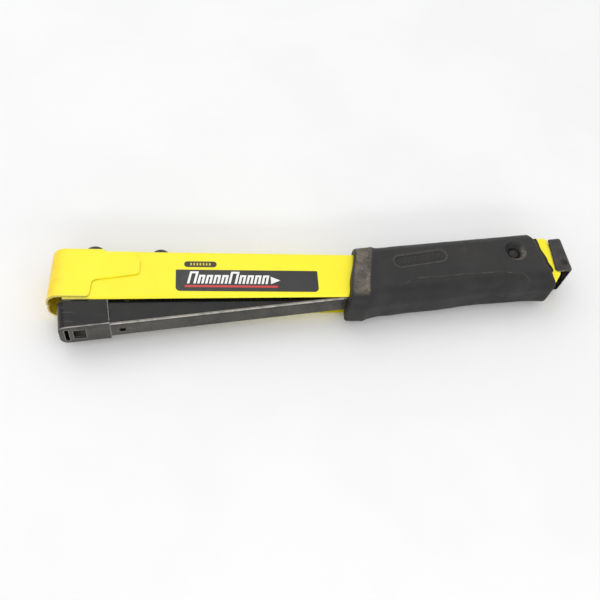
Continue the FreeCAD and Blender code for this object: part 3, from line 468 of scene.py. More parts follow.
# %% Rubber
def rubber(name, level, grain_depth):
    material, tree, shader = finish(name, 0.62, specular=0.38)
    PALE_WEAR_AND_LIGHT = (0.060, 0.059, 0.057, 1.0)
    SETTLED_DUST_AND_LIGHT = (0.265, 0.228, 0.172, 1.0)
    here = place_on(tree)
    rubbed = ramp(tree, spots(tree, here, 55.0, 5.0, 0.6), 0.40, 0.80, 0.0, 0.28)
    lines = maths(tree, "MULTIPLY", use(tree, SCRATCHES, Along=90.0, Across=800.0, Amount=0.32), 0.5)
    # Painted light: the spine side, which faces the lamps, is painted paler.
    lit_spine_side = ramp(tree, facing(tree, 1), -0.45, 0.55, 0.0, 0.34)
    body = mixed(tree, any_of(tree, rubbed, lines, lit_spine_side), grey(level), PALE_WEAR_AND_LIGHT)
    # The dust attribute holds real dust and painted light: a lit ring at the dimple and a highlight along the
    # crease.
    share = add(tree, "Attribute", attribute_name="dust").outputs["Fac"]
    fine = ramp(tree, spots(tree, here, 620.0, 5.0, 0.75), 0.30, 0.66, 0.30, 1.0)
    settled_dust_and_light = maths(tree, "MULTIPLY", share, fine)
    loose = maths(tree, "MULTIPLY", use(tree, DUST, Scale=38.0, Cover=0.30), 0.06)
    feed(
        tree,
        shader,
        Base_Color=mixed(tree, any_of(tree, settled_dust_and_light, loose), body, SETTLED_DUST_AND_LIGHT),
        Roughness=ramp(tree, spots(tree, here, 75.0, 3.0), 0.3, 0.7, 0.50, 0.68),
        Normal=bumped(tree, use(tree, GRAIN, Scale=1500.0), grain_depth, 0.8),
    )
    return material


GRIP_RUBBER = rubber("grip_rubber", 0.0105, 0.00007)
BUMPER_RUBBER = rubber("bumper_rubber", 0.022, 0.00005)
print("rubbers:", GRIP_RUBBER.name, BUMPER_RUBBER.name)

# %% [markdown]
# ## Bare metals
# The driver, the rail and the rod are ground steel with fine lines along them and a brown bloom
# of old oil. The springs are darker wire. Brackets and pins are zinc plated, which is paler,
# cloudier and a little blue. The screws and pins that show are blackened and worn at the rim.


# %% Metals
def metal(name, colour, stain, roughness, cloud_scale, line_amount, edge_colour, edge_amount):
    """A bare or plated metal: clouded colour, fine lines, stains in corners, brighter edges."""
    material, tree, shader = finish(name, roughness, metallic=1.0)
    here = place_on(tree)
    clouds = ramp(tree, spots(tree, here, cloud_scale, 5.0, 0.6), 0.32, 0.72)
    dirt = use(tree, CORNER_DIRT, Reach=0.0015, Amount=0.7)
    patches = maths(tree, "MULTIPLY", use(tree, DUST, Scale=cloud_scale, Cover=0.35), 0.6)
    shade = tuple(0.78 * level for level in colour[:3]) + (1.0,)
    base = mixed(tree, clouds, colour, shade)
    base = mixed(tree, any_of(tree, dirt, patches), base, stain)
    edges = use(tree, EDGE_WEAR, Width=0.0005, Spot_scale=700.0, Amount=edge_amount)
    lines = use(tree, SCRATCHES, Along=20.0, Across=2600.0, Amount=line_amount)
    rough = maths(tree, "ADD", ramp(tree, clouds, 0.0, 1.0, roughness - 0.06, roughness + 0.08),
                  maths(tree, "MULTIPLY", any_of(tree, dirt, patches), 0.25))
    feed(
        tree,
        shader,
        Base_Color=mixed(tree, edges, base, edge_colour),
        Roughness=rough,
        Normal=bumped(tree, maths(tree, "ADD", lines, clouds), 0.00002, 0.5),
    )
    return material


OIL = (0.10, 0.065, 0.035, 1.0)
SOOT = (0.03, 0.027, 0.024, 1.0)
BRIGHT = (0.62, 0.60, 0.57, 1.0)
HARD_STEEL = metal("hard_steel", (0.36, 0.355, 0.35, 1.0), OIL, 0.36, 70.0, 0.7, BRIGHT, 0.5)
SPRING_STEEL = metal("spring_steel", (0.23, 0.23, 0.235, 1.0), OIL, 0.30, 200.0, 0.4, BRIGHT, 0.4)
ZINC = metal("zinc_plate", (0.52, 0.54, 0.56, 1.0), OIL, 0.38, 320.0, 0.3, BRIGHT, 0.4)
BLACK_SCREW = metal("black_screw", (0.045, 0.043, 0.042, 1.0), SOOT, 0.42, 260.0, 0.2, BRIGHT, 0.32)
print("metals:", [m.name for m in (HARD_STEEL, SPRING_STEEL, ZINC, BLACK_SCREW)])

# %% [markdown]
# ## The latch, the label and the inks
# The rear latch is black painted sheet, rubbed to bright metal at its corners. The label is a
# dark printed film under a clear layer, so it is smooth with a thin gloss over it. Its white
# and red are inks: flat colour with tiny gaps where the film shows through.

# %% Latch paint
material, tree, shader = finish("black_clip", 0.38)
CLIP_BLACK = (0.012, 0.0115, 0.011, 1.0)
CLIP_WARM = (0.030, 0.026, 0.021, 1.0)
here = place_on(tree)
paint = mixed(tree, ramp(tree, spots(tree, here, 180.0, 5.0), 0.4, 0.7), CLIP_BLACK, CLIP_WARM)
dusty = any_of(
    tree,
    maths(tree, "MULTIPLY", use(tree, DUST, Scale=120.0, Cover=0.45), 0.35),
    maths(tree, "MULTIPLY", use(tree, SCRATCHES, Along=200.0, Across=900.0, Amount=0.5), 0.4),
)
edges = use(tree, EDGE_WEAR, Width=0.0008, Spot_scale=420.0, Amount=0.62)
feed(
    tree,
    shader,
    Base_Color=mixed(tree, edges, mixed(tree, dusty, paint, PALE_DUST), BRIGHT),
    Metallic=maths(tree, "MULTIPLY", edges, 0.8),
    Roughness=ramp(tree, spots(tree, here, 240.0, 4.0), 0.3, 0.7, 0.30, 0.48),
    Normal=bumped(tree, use(tree, GRAIN, Scale=1300.0), 0.00003, 0.6),
)
LATCH_PAINT = material


# %% Label film and inks
def film(name, colour, faded, gap_start):
    """Printed film: its ink is faded in clouds and has tiny rubbed spots."""
    material, tree, shader = finish(name, 0.30)
    here = place_on(tree)
    tired = ramp(tree, spots(tree, here, 110.0, 4.0), 0.35, 0.75, 0.0, 0.6)
    pits = ramp(tree, spots(tree, here, 2300.0, 3.0, 0.7), gap_start, gap_start + 0.05, 0.0, 0.7)
    RUBBED_FILM = (0.085, 0.082, 0.078, 1.0)
    feed(
        tree,
        shader,
        Base_Color=mixed(tree, pits, mixed(tree, tired, colour, faded), RUBBED_FILM),
        Roughness=ramp(tree, spots(tree, here, 300.0, 3.0), 0.3, 0.7, 0.24, 0.38),
    )
    return material


LABEL_FILM = film("label_film", (0.019, 0.019, 0.0195, 1.0), (0.030, 0.029, 0.028, 1.0), 0.72)
BADGE_FILM = film("badge_film", (0.026, 0.024, 0.008, 1.0), (0.060, 0.052, 0.012, 1.0), 0.72)
WHITE_INK = film("white_ink", (0.86, 0.86, 0.84, 1.0), (0.74, 0.73, 0.70, 1.0), 0.74)
RED_INK = film("red_ink", (0.62, 0.035, 0.035, 1.0), (0.50, 0.05, 0.045, 1.0), 0.74)
YELLOW_INK = film("yellow_ink", (0.72, 0.58, 0.03, 1.0), (0.45, 0.36, 0.03, 1.0), 0.70)
print("films:", LABEL_FILM.name, BADGE_FILM.name, WHITE_INK.name, RED_INK.name, YELLOW_INK.name)

# %% [markdown]
# ## Giving the design's nodes their finishes
# The record names one material slot for each node, so the finishes are given out by that name.

# %% Finishes by slot
FINISHES = {
    "yellow_paint": YELLOW,
    "black_paint": BLACK_PAINT,
    "grip_rubber": GRIP_RUBBER,
    "bumper_rubber": BUMPER_RUBBER,
    "hard_steel": HARD_STEEL,
    "spring_steel": SPRING_STEEL,
    "zinc_plate": ZINC,
    "black_screw": BLACK_SCREW,
    "black_clip": LATCH_PAINT,
    "label_film": LABEL_FILM,
    "badge_film": BADGE_FILM,
}
slot_of = {}
for part in frame["record"]["subparts"]:
    slot_of[part["node"]] = part["material_slot"]
for node, shown in frame["nodes"].items():
    shown.data.materials.clear()
    shown.data.materials.append(FINISHES[slot_of[node]])
print("finished nodes:", len(slot_of))

# %% [markdown]
# ## Finishing a new mesh
# A new piece is drawn in millimetres with bmesh operators. This helper moves it into the scene,
# makes an object of it, gives it its finish, and lets it ride on the body it belongs to.


# %% Piece helper
def piece(name, bm, body, slot, material=None, smooth=True, recalculate=True):
    """Turns a drawn bmesh into a piece of the tool."""
    if recalculate:
        bmesh.ops.recalc_face_normals(bm, faces=bm.faces)
    bmesh.ops.transform(bm, matrix=FROM_DRAWING, verts=bm.verts)
    mesh = bpy.data.meshes.new(name)
    bm.to_mesh(mesh)
    bm.free()
    for face in mesh.polygons:
        face.use_smooth = smooth
    mesh.materials.append(material or FINISHES[slot])
    made = bpy.data.objects.new(name, mesh)
    scene.collection.objects.link(made)
    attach(made, body)
    print(name, "faces:", len(mesh.polygons))
    return made


def eased(low, high, value):
    """0 before low, 1 after high, and a smooth step between them."""
    share = min(max((value - low) / (high - low), 0.0), 1.0)
    return share * share * (3 - 2 * share)


def along(points, value):
    """Reads a line of (place, height) points, smoothly between them."""
    if value <= points[0][0]:
        return points[0][1]
    for (x0, y0), (x1, y1) in zip(points, points[1:]):
        if value <= x1:
            return y0 + (y1 - y0) * eased(x0, x1, value)
    return points[-1][1]


# %% [markdown]
# ## Measuring the handle
# The grip fits a bent channel. Instead of repeating the channel's numbers, short rays find it:
# two down onto the spine and two up to the side plates' lower edge give the lines that the
# rubber follows.


# %% Rays
def first_touch(node, start, direction):
    """Where a ray from start, in drawing millimetres, first meets a node of the design."""
    depsgraph = bpy.context.evaluated_depsgraph_get()
    shape = BVHTree.FromObject(frame["nodes"][node], depsgraph)
    place, normal, index, distance = shape.ray_cast(FROM_DRAWING @ Vector(start), Vector(direction))
    return to_drawing(place)


def line_between(a, b):
    """The straight line y(x) through two touched points."""
    slope = (b.y - a.y) / (b.x - a.x)
    return lambda x: a.y + (x - a.x) * slope


FAR = 90.0
PLATE_Z = (housing_high.z - housing_low.z) / 2 / MM - 0.6
pin_low, pin_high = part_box("pivot_pin")
PIN = to_drawing((pin_low + pin_high) / 2)
PIN_HEAD = (pin_high.x - pin_low.x) / 2 / MM
HALF_CHANNEL = (housing_high.z - housing_low.z) / 2 / MM
spine_line = line_between(
    first_touch("housing", (PIN.x - 70, FAR, 0), (0, -1, 0)),
    first_touch("housing", (PIN.x, FAR, 0), (0, -1, 0)),
)
foot_line = line_between(
    first_touch("housing", (PIN.x - 80, -FAR, PLATE_Z), (0, 1, 0)),
    first_touch("housing", (PIN.x, -FAR, PLATE_Z), (0, 1, 0)),
)
FLAT_SPINE = first_touch("housing", (PIN.x - 130, FAR, 0), (0, -1, 0)).y
print("pin at", PIN.x, PIN.y, "spine over it", spine_line(PIN.x), "foot", foot_line(PIN.x))

# %% [markdown]
# ## The grip's outline
# Seen from the side, the rubber stands a few millimetres over the spine and under the side
# plates. It is deepest at the front, where it flares into a stop for the finger. The front end
# leans, and the rear end steps out at the bottom to cover the corner of the side plates.

# %% Outline of the grip
grip_low, grip_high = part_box("grip")
GRIP_FRONT = to_drawing(grip_low).x
GRIP_REAR = to_drawing(grip_high).x
HALF_GRIP = (grip_high.z - grip_low.z) / 2 / MM
OVER_SPINE = [(GRIP_FRONT - 5, 3.6), (GRIP_FRONT + 17, 4.1), (GRIP_FRONT + 27, 3.5), (GRIP_REAR, 3.6)]
UNDER_FOOT = [
    (GRIP_FRONT - 7, 7.0),
    (GRIP_FRONT + 11, 8.2),
    (GRIP_FRONT + 24, 6.1),
    (GRIP_FRONT + 50, 4.9),
    (GRIP_FRONT + 85, 2.7),
    (GRIP_FRONT + 117, 2.5),
    (GRIP_FRONT + 135, 4.2),
]
FRONT_END = [(-6.0, 0.3), (3.0, 1.6), (33.0, 5.9)]
REAR_END = [
    (7.0, -2.4),
    (9.5, -0.8),
    (16.0, -2.7),
    (26.0, -5.4),
    (40.0, -8.2),
    (48.0, -10.5),
]


def spine_y(x):
    return max(FLAT_SPINE, spine_line(x))


def top_y(x):
    return spine_y(x) + along(OVER_SPINE, x)


def bottom_y(x):
    return foot_line(x) - along(UNDER_FOOT, x)


def front_x(y):
    return GRIP_FRONT + along(FRONT_END, y)


def rear_x(y):
    return GRIP_REAR + along(REAR_END, y)


print("grip length", round(GRIP_REAR - GRIP_FRONT, 1), "thickness", round(2 * HALF_GRIP, 1))

# %% [markdown]
# ## The grip's section
# Across the handle the rubber is a rectangle with large round corners. A point on it is found by
# walking round from the middle of the underside: half the floor, a corner, a side, a corner, and
# so on. The walk also gives the outward direction, which the relief needs.


# %% Walk round a rounded rectangle
def round_section(share, low, high, half, low_corner, high_corner):
    """The point and outward direction, as (y, z, ny, nz), at a share of the way round."""
    floor = half - low_corner
    roof = half - high_corner
    side = high - low - low_corner - high_corner
    low_quarter = low_corner * pi / 2
    high_quarter = high_corner * pi / 2
    whole = floor + low_quarter + side + high_quarter + roof
    walk = share * 2 * whole
    mirror = 1.0
    if walk > whole:
        walk = 2 * whole - walk
        mirror = -1.0
    if walk <= floor:
        return low, mirror * walk, -1.0, 0.0
    walk -= floor
    if walk <= low_quarter:
        turn = walk / low_corner
        y = low + low_corner - low_corner * cos(turn)
        return y, mirror * (floor + low_corner * sin(turn)), -cos(turn), mirror * sin(turn)
    walk -= low_quarter
    if walk <= side:
        return low + low_corner + walk, mirror * half, 0.0, mirror
    walk -= side
    if walk <= high_quarter:
        turn = walk / high_corner
        y = high - high_corner + high_corner * sin(turn)
        return y, mirror * (roof + high_corner * cos(turn)), sin(turn), mirror * cos(turn)
    walk -= high_quarter
    return high, mirror * (roof - walk), 1.0, 0.0


print("a quarter of the way round:", round_section(0.25, 0.0, 36.0, 14.0, 9.6, 6.3))

# %% [markdown]
# ## The grip's relief
# What makes it a real moulding is its relief: a collar at the front with a crest behind it, a
# sunk pill-shaped panel with short ribs, a dimple over the hinge pin with a lip round it, and a
# crease along the side below which the fingers lie. Each is a distance turned into a depth.

# %% Relief of the grip
COLLAR_END = 10.5
PANEL = Vector((212.4, 26.0))
PANEL_TILT = radians(10.5)
PANEL_HALF = 12.6
PANEL_RADIUS = 3.9
RIB_PITCH = 3.0
DIMPLE_RADIUS = 6.4
CREASE = [
    (194.0, 3.0),
    (199.0, 7.6),
    (207.7, 12.4),
    (221.6, 13.4),
    (240.6, 15.7),
    (259.9, 17.2),
    (274.0, 16.4),
    (280.5, 11.0),
    (283.0, 5.0),
]


def collar_relief(from_front):
    """Depth of the surface behind the collar's crest."""
    crest = eased(COLLAR_END - 2.0, COLLAR_END, from_front) - eased(COLLAR_END, COLLAR_END + 1.4, from_front)
    body = 0.42 * eased(COLLAR_END - 0.2, COLLAR_END + 2.6, from_front)
    valley = 0.45 * eased(COLLAR_END, 14.0, from_front) * (1 - eased(15.0, 26.0, from_front))
    return 0.22 - 0.22 * crest + body + valley - 0.22 * eased(COLLAR_END, COLLAR_END + 2, from_front)


def panel_relief(x, y):
    """Depth of the sunk panel, with slanted ribs that stand up again inside it."""
    offset = Vector((x, y)) - PANEL
    u = offset.x * cos(PANEL_TILT) + offset.y * sin(PANEL_TILT)
    v = offset.y * cos(PANEL_TILT) - offset.x * sin(PANEL_TILT)
    past_end = max(abs(u) - PANEL_HALF, 0.0)
    distance = sqrt(past_end**2 + v**2) - PANEL_RADIUS
    sunk = 0.75 * (1 - eased(-0.9, 0.1, distance))
    lip = -0.12 * eased(-0.4, 0.3, distance) * (1 - eased(0.5, 1.3, distance))
    slanted = u - 0.25 * v
    from_rib = abs((slanted / RIB_PITCH + 0.5) % 1.0 - 0.5) * RIB_PITCH
    rib = (1 - eased(0.45, 0.95, from_rib)) * (1 - eased(1.7, 2.4, abs(v)))
    rib *= 1 - eased(PANEL_HALF - 0.5, PANEL_HALF + 0.5, abs(u))
    return sunk + lip - 0.5 * rib, distance


def dimple_relief(x, y):
    """Depth of the dimple and, under the pin's head, of the hole in its floor."""
    distance = sqrt((x - PIN.x) ** 2 + (y - PIN.y) ** 2)
    bowl = 0.95 * (1 - eased(DIMPLE_RADIUS - 0.9, DIMPLE_RADIUS + 0.2, distance))
    groove = 0.75 * eased(4.9, 5.3, distance) * (1 - eased(5.8, 6.3, distance))
    hole = 1.9 * (1 - eased(PIN_HEAD + 0.05, PIN_HEAD + 0.4, distance))
    lip = -0.25 * eased(DIMPLE_RADIUS, DIMPLE_RADIUS + 0.6, distance)
    lip *= 1 - eased(DIMPLE_RADIUS + 0.8, DIMPLE_RADIUS + 2.0, distance)
    return bowl + groove + hole + lip, distance


def crease_relief(x, y):
    """Depth below the crease, where the fingers lie."""
    inside = eased(CREASE[0][0], CREASE[1][0] + 6, x) * (1 - eased(278.0, CREASE[-1][0], x))
    drop = along(CREASE, x) - y
    step = 0.32 * eased(0.0, 1.1, drop) * (1 - 0.5 * eased(6.0, 14.0, drop))
    return inside * step, drop, inside


# %% [markdown]
# ## Rolling the sleeve
# The grip begins as a flat grid, one way along the handle and one way round it. Each point is
# sent to its place on the section and pushed in by the relief, the seam is merged, and the sheet
# has become a sleeve. Half a millimetre between points is fine enough for the ribs. Its front
# edge is then extruded inwards and back along the channel, ring by ring, as a lining, and the
# lining's last ring is bridged to the sleeve's rear edge, which closes the rubber.

# %% Roll the sleeve
ROUND_CELLS = 236
LONG_CELLS = 236
RIM = 2.2
LOW_CORNER = 9.6
HIGH_CORNER = 6.3
END_SHARES = [0.0, 0.0007, 0.0020, 0.0042, 0.0072, 0.0110, 0.0150]
middle_cells = LONG_CELLS - 2 * len(END_SHARES) + 2
first, last = END_SHARES[-1], 1 - END_SHARES[-1]
shares = END_SHARES[:-1] + [first + (last - first) * i / middle_cells for i in range(middle_cells + 1)]
shares += [1 - share for share in reversed(END_SHARES[:-1])]


def rim_inset(distance, radius):
    """How far a rounded rim has curved in at a distance from the end."""
    if distance >= radius:
        return 0.0
    return radius - sqrt(radius**2 - (radius - distance) ** 2)


def skin_section(x, round_share):
    """The plain section of the grip at a place along the handle."""
    return round_section(
        round_share, bottom_y(x), top_y(x), HALF_GRIP, LOW_CORNER, HIGH_CORNER
    )


def sleeve_point(long_share, round_share):
    """A point of the grip's outer skin, and its share of dust and painted light."""
    middle_x = (GRIP_FRONT + GRIP_REAR) / 2
    y, z, ny, nz = skin_section(middle_x, round_share)
    height = (y - bottom_y(middle_x)) / (top_y(middle_x) - bottom_y(middle_x))
    front = front_x(bottom_y(GRIP_FRONT) + height * (top_y(GRIP_FRONT) - bottom_y(GRIP_FRONT)))
    rear = rear_x(bottom_y(GRIP_REAR) + height * (top_y(GRIP_REAR) - bottom_y(GRIP_REAR)))
    x = front + (rear - front) * long_share
    y, z, ny, nz = skin_section(x, round_share)
    flat = eased(0.55, 0.95, abs(nz))
    from_front = x - front
    depth = collar_relief(from_front)
    panel, to_panel = panel_relief(x, y)
    dimple, to_pin = dimple_relief(x, y)
    crease, drop, inside = crease_relief(x, y)
    depth += flat * (panel + dimple) + crease * eased(0.2, 0.8, abs(nz))
    depth += rim_inset(from_front, RIM * 0.7) + rim_inset(rear - x, RIM * 1.3)
    depth += 0.10 * (noise.noise(Vector((x, y, z)) / 9.0) + 0.5 * noise.noise(Vector((x, y, z)) / 3.1))
    on_collar = eased(0.5, 2.0, from_front)
    on_collar *= 1 - eased(COLLAR_END - 0.5, COLLAR_END + 1.2, from_front)
    patchy = 0.45 + 0.55 * eased(-0.4, 0.5, noise.noise(Vector((x, y, z)) / 4.0))
    depth = max(depth, 0.0)
    dust = 0.72 * on_collar * patchy * (1 - eased(0.0, 0.55, -ny))
    # A pale ring on the dimple's rim: dust, painted only on its lower rear side, where light falls.
    ring = eased(4.4, 5.0, to_pin) * (1 - eased(6.2, 7.0, to_pin))
    ring *= eased(-0.2, 0.8, (x - PIN.x - y + PIN.y) / (1.4 * max(to_pin, 1.0)))
    # Painted highlight: a pale line along the crease's edge.
    faint = 0.4 + 0.6 * eased(-0.3, 0.4, noise.noise(Vector((x / 7, y / 7, z))))
    edge = inside * (1 - eased(0.0, 0.55, abs(drop - 0.15))) * faint
    rubbed_lip = 0.25 * eased(-0.3, 0.1, to_panel) * (1 - eased(0.3, 0.9, to_panel))
    dust = max(dust, flat * max(0.7 * ring, 0.32 * edge, rubbed_lip))
    return (x, y - depth * ny, z - depth * nz), dust


def lining_point(x, round_share):
    """A point of the lining, which lies on the steel channel."""
    GAP = 0.06
    low = foot_line(x) - GAP
    high = spine_y(x) + GAP
    y, z, ny, nz = round_section(round_share, low, high, HALF_CHANNEL + GAP, 1.6, 1.6)
    return (x, y, z)


bm = bmesh.new()
bmesh.ops.create_grid(bm, x_segments=LONG_CELLS, y_segments=ROUND_CELLS, size=0.5)
dust_and_light_layer = bm.verts.layers.float.new("dust")
long_layer = bm.verts.layers.float.new("long_share")
round_layer = bm.verts.layers.float.new("round_share")
for vert in bm.verts:
    index = round((vert.co.x + 0.5) * LONG_CELLS)
    vert[long_layer] = shares[index]
    vert[round_layer] = vert.co.y + 0.5
for vert in bm.verts:
    vert.co, vert[dust_and_light_layer] = sleeve_point(vert[long_layer], vert[round_layer])
bmesh.ops.remove_doubles(bm, verts=bm.verts, dist=0.0005)
print("sleeve points:", len(bm.verts), "open edges:", sum(edge.is_boundary for edge in bm.edges))

# %% Line the sleeve and close it
LINING_RINGS = 24
rim = [edge for edge in bm.edges if edge.is_boundary and edge.verts[0][long_layer] < 0.5]
for ring in range(LINING_RINGS + 1):
    grown = bmesh.ops.extrude_edge_only(bm, edges=rim)["geom"]
    rim = [item for item in grown if isinstance(item, bmesh.types.BMEdge)]
    for vert in [item for item in grown if isinstance(item, bmesh.types.BMVert)]:
        if ring == 0:
            start_x = vert.co.x
            vert[long_layer] = start_x
        share = ring / LINING_RINGS
        y = lining_point(vert[long_layer], vert[round_layer])[1]
        x = vert[long_layer] + (rear_x(y) - vert[long_layer]) * share
        vert.co = lining_point(x, vert[round_layer])
        vert[dust_and_light_layer] = 0.0
loops = [edge for edge in bm.edges if edge.is_boundary]
bmesh.ops.bridge_loops(bm, edges=loops)
print("open edges left:", sum(edge.is_boundary for edge in bm.edges))
for layer in (long_layer, round_layer):
    bm.verts.layers.float.remove(layer)
grip = piece("rubber_grip", bm, "root", "grip_rubber")
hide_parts("grip")

# %% [markdown]
# ## Coil springs
# A wound spring is a small circle of wire swept along a helix. The spin operator turns the
# circle about the spring's axis, and its offset lifts it a little at each step, which makes the
# helix. The end turns are wound tighter, as on a real compression spring, so that they seat.

# %% Coil helper
STEPS_ROUND = 20


def coil(radius, wire, sides, spans):
    """A helix round the Z axis from Z = 0. spans lists (turns, rise) in order."""
    bm = bmesh.new()
    upright = Matrix.Translation((radius, 0.0, 0.0)) @ Matrix.Rotation(pi / 2, 4, "X")
    bmesh.ops.create_circle(bm, cap_ends=False, segments=sides, radius=wire / 2, matrix=upright)
    ring = list(bm.edges)
    start = list(ring)
    for turns, rise in spans:
        steps = max(2, round(turns * STEPS_ROUND))
        spun = bmesh.ops.spin(
            bm,
            geom=ring,
            cent=(0, 0, 0),
            axis=(0, 0, 1),
            dvec=(0, 0, rise / steps),
            angle=2 * pi * turns,
            steps=steps,
            use_duplicate=False,
        )
        ring = [item for item in spun["geom_last"] if isinstance(item, bmesh.types.BMEdge)]
    bmesh.ops.holes_fill(bm, edges=start, sides=0)
    bmesh.ops.holes_fill(bm, edges=ring, sides=0)
    return bm


# %% [markdown]
# ## The return spring
# It stands between a strap on the magazine and a seat under the spine, and throws the magazine
# open again after each blow. It shortens as the magazine swings up; here it keeps its drawn length.

# %% Return spring
spring_low, spring_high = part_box("return_spring")
RETURN_WIRE = 1.2
RETURN_TURNS = 7
spring_middle = to_drawing((spring_low + spring_high) / 2)
spring_length = (spring_high.y - spring_low.y) / MM
spring_radius = (spring_high.x - spring_low.x) / 2 / MM - RETURN_WIRE / 2
END_RISE = RETURN_WIRE * 1.05
open_rise = spring_length - RETURN_WIRE - 2 * END_RISE
bm = coil(spring_radius, RETURN_WIRE, 12, [(1, END_RISE), (RETURN_TURNS - 2, open_rise), (1, END_RISE)])
foot = Vector((spring_middle.x, to_drawing(spring_low).y + RETURN_WIRE / 2, spring_middle.z))
stand = Matrix.Translation(foot) @ Matrix.Rotation(-pi / 2, 4, "X")
bmesh.ops.transform(bm, matrix=stand, verts=bm.verts)
return_spring = piece("return_coil", bm, "root", "spring_steel")
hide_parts("return_spring")
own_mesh(return_spring)

# %% [markdown]
# ## The pusher's spring
# A long thin spring lies round the feed rod and drives the staples forward. It is drawn
# standing, then laid along the magazine, and rides with the feeder. On the tool it is pressed
# together towards the end plug when the pusher is held back; here it keeps its drawn length.

# %% Pusher spring
soft_low, soft_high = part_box("pusher_spring")
slide = next(joint for joint in frame["joints"] if joint["name"] == "pusher_slide")
along_magazine = Vector(slide["axis"]).normalized()
PUSHER_WIRE = 0.7
PUSHER_TURNS = 62
soft_radius = (soft_high.z - soft_low.z) / 2 / MM - PUSHER_WIRE / 2
middle = to_drawing((soft_low + soft_high) / 2)
reach = (soft_high.x - soft_low.x) / MM
tilt = abs(along_magazine.y / along_magazine.x)
soft_length = (reach - 2 * (soft_radius + PUSHER_WIRE / 2) * sin(tilt)) / along_magazine.x
CLOSED_RISE = PUSHER_WIRE * 3.2
spans = [(3, CLOSED_RISE), (PUSHER_TURNS, soft_length - PUSHER_WIRE - 2 * CLOSED_RISE), (3, CLOSED_RISE)]
bm = coil(soft_radius, PUSHER_WIRE, 8, spans)
turn = Vector((0, 0, 1)).rotation_difference(along_magazine).to_matrix().to_4x4()
soft_start = middle - along_magazine * (soft_length - PUSHER_WIRE) / 2
bmesh.ops.transform(bm, matrix=Matrix.Translation(soft_start) @ turn, verts=bm.verts)
pusher_spring = piece("pusher_coil", bm, "feeder", "spring_steel")
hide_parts("pusher_spring")
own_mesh(pusher_spring)

# %% [markdown]
# ## Printing on the label
# The label carries a row of white marks over a thin red line. Here the marks are staples, drawn
# as slanted arches, with a plain arrow after them. Ink has almost no thickness, so each mark is
# a flat shape raised by two hundredths of a millimetre.

# %% Ink helpers
INK = 0.02
LEAN = 0.22
label_low, label_high = (to_drawing(corner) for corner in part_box("side_label"))
badge_low, badge_high = (to_drawing(corner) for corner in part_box("badge"))


def bar(bm, x, y, width, height, foot, lean=LEAN):
    """A slanted flat bar whose lower left corner is at (x, y) and that stands on Z = foot."""
    made = bmesh.ops.create_grid(bm, x_segments=1, y_segments=1, size=0.5)["verts"]
    bmesh.ops.translate(bm, vec=(0.5, 0.5, 0), verts=made)
    bmesh.ops.scale(bm, vec=(width, height, 1), verts=made)
    for vert in made:
        vert.co.x += vert.co.y * lean
    bmesh.ops.translate(bm, vec=(x, y, foot), verts=made)


def arch(bm, x, y, width, height, line, foot):
    """A slanted staple: two legs under a crown, as one strip of faces."""
    made = bmesh.ops.create_grid(bm, x_segments=3, y_segments=2, size=0.5)["verts"]
    columns = [0.0, line, width - line, width]
    rows = [0.0, height - line, height]
    for vert in made:
        column = round((vert.co.x + 0.5) * 3)
        row = round((vert.co.y + 0.5) * 2)
        vert.co = (x + columns[column] + rows[row] * LEAN, y + rows[row], foot)
    for face in {face for vert in made for face in vert.link_faces}:
        centre = face.calc_center_median()
        upright = centre.x - (centre.y - y) * LEAN - x
        if line < upright < width - line and centre.y < y + height - line:
            bm.faces.remove(face)


def ink(name, bm, slot, material):
    """Gives flat marks the thickness of ink and makes them a piece."""
    bmesh.ops.recalc_face_normals(bm, faces=bm.faces)
    raised = bmesh.ops.extrude_face_region(bm, geom=list(bm.faces), use_keep_orig=True)["geom"]
    tops = [item for item in raised if isinstance(item, bmesh.types.BMVert)]
    bmesh.ops.translate(bm, vec=(0, 0, INK), verts=tops)
    return piece(name, bm, "root", slot, material, smooth=False)


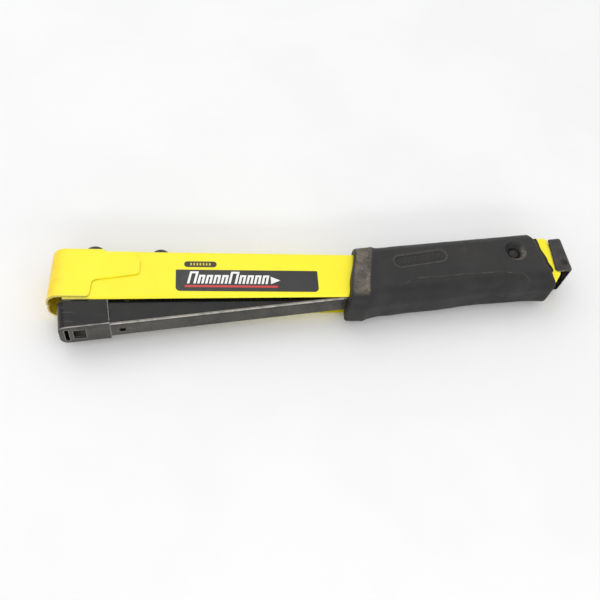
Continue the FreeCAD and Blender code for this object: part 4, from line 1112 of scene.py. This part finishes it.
# %% Marks on the label
STAPLES = 10
MARK_LEFT = 6.2
MARK_FOOT = 4.9
LINE_LEFT = 4.9
LINE_FOOT = 2.5
LINE_LENGTH = 52.2
LINE_THICKNESS = 1.3
face = label_high.z
bm = bmesh.new()
pen = label_low.x + MARK_LEFT
for number in range(STAPLES):
    tall = 8.1 if number in (0, 5) else 5.8
    wide = 4.8 if number in (0, 5) else 3.5
    arch(bm, pen, label_low.y + MARK_FOOT, wide, tall, 1.3, face)
    pen += wide + 0.85
arrow = [(0.0, 0.0), (5.4, 2.5), (0.0, 5.0)]
corners = [bm.verts.new((pen + 1.1 + x, label_low.y + MARK_FOOT + y, face)) for x, y in arrow]
bm.faces.new(corners)
ink("label_marks", bm, "label_film", WHITE_INK)
bm = bmesh.new()
bar(
    bm, label_low.x + LINE_LEFT, label_low.y + LINE_FOOT, LINE_LENGTH, LINE_THICKNESS, face
)
ink("label_line", bm, "label_film", RED_INK)

# %% [markdown]
# The badge is a small dark pill above the label, with a row of short bars in the yellow of the
# paint.

# %% Marks on the badge
BADGE_BARS = 7
BAR_PITCH = 1.75
badge_face = badge_high.z
badge_middle = (badge_low + badge_high) / 2
bm = bmesh.new()
for number in range(BADGE_BARS):
    x = badge_middle.x + (number - (BADGE_BARS - 1) / 2) * BAR_PITCH - 0.45
    bar(bm, x, badge_middle.y - 0.8, 0.9, 1.6, badge_face, 0.0)
ink("badge_marks", bm, "badge_film", YELLOW_INK)

# %% [markdown]
# ## The table
# A plain pale sheet under the tool. It is not part of the object.

# %% Table
material, tree, shader = finish("pale_table", 0.65, specular=0.25)
here = place_on(tree)
PAPER = (0.86, 0.86, 0.865, 1.0)
PAPER_SHADE = (0.84, 0.84, 0.845, 1.0)
feed(tree, shader, Base_Color=mixed(tree, ramp(tree, spots(tree, here, 9.0), 0.4, 0.6), PAPER, PAPER_SHADE))
bm = bmesh.new()
bmesh.ops.create_grid(bm, x_segments=1, y_segments=1, size=4.0)
table_mesh = bpy.data.meshes.new("table")
bm.to_mesh(table_mesh)
bm.free()
table_mesh.transform(Matrix.Translation((0, 0, cad_low.z - 0.0001)))
table_mesh.materials.append(material)
table = bpy.data.objects.new("table", table_mesh)
scene.collection.objects.link(table)
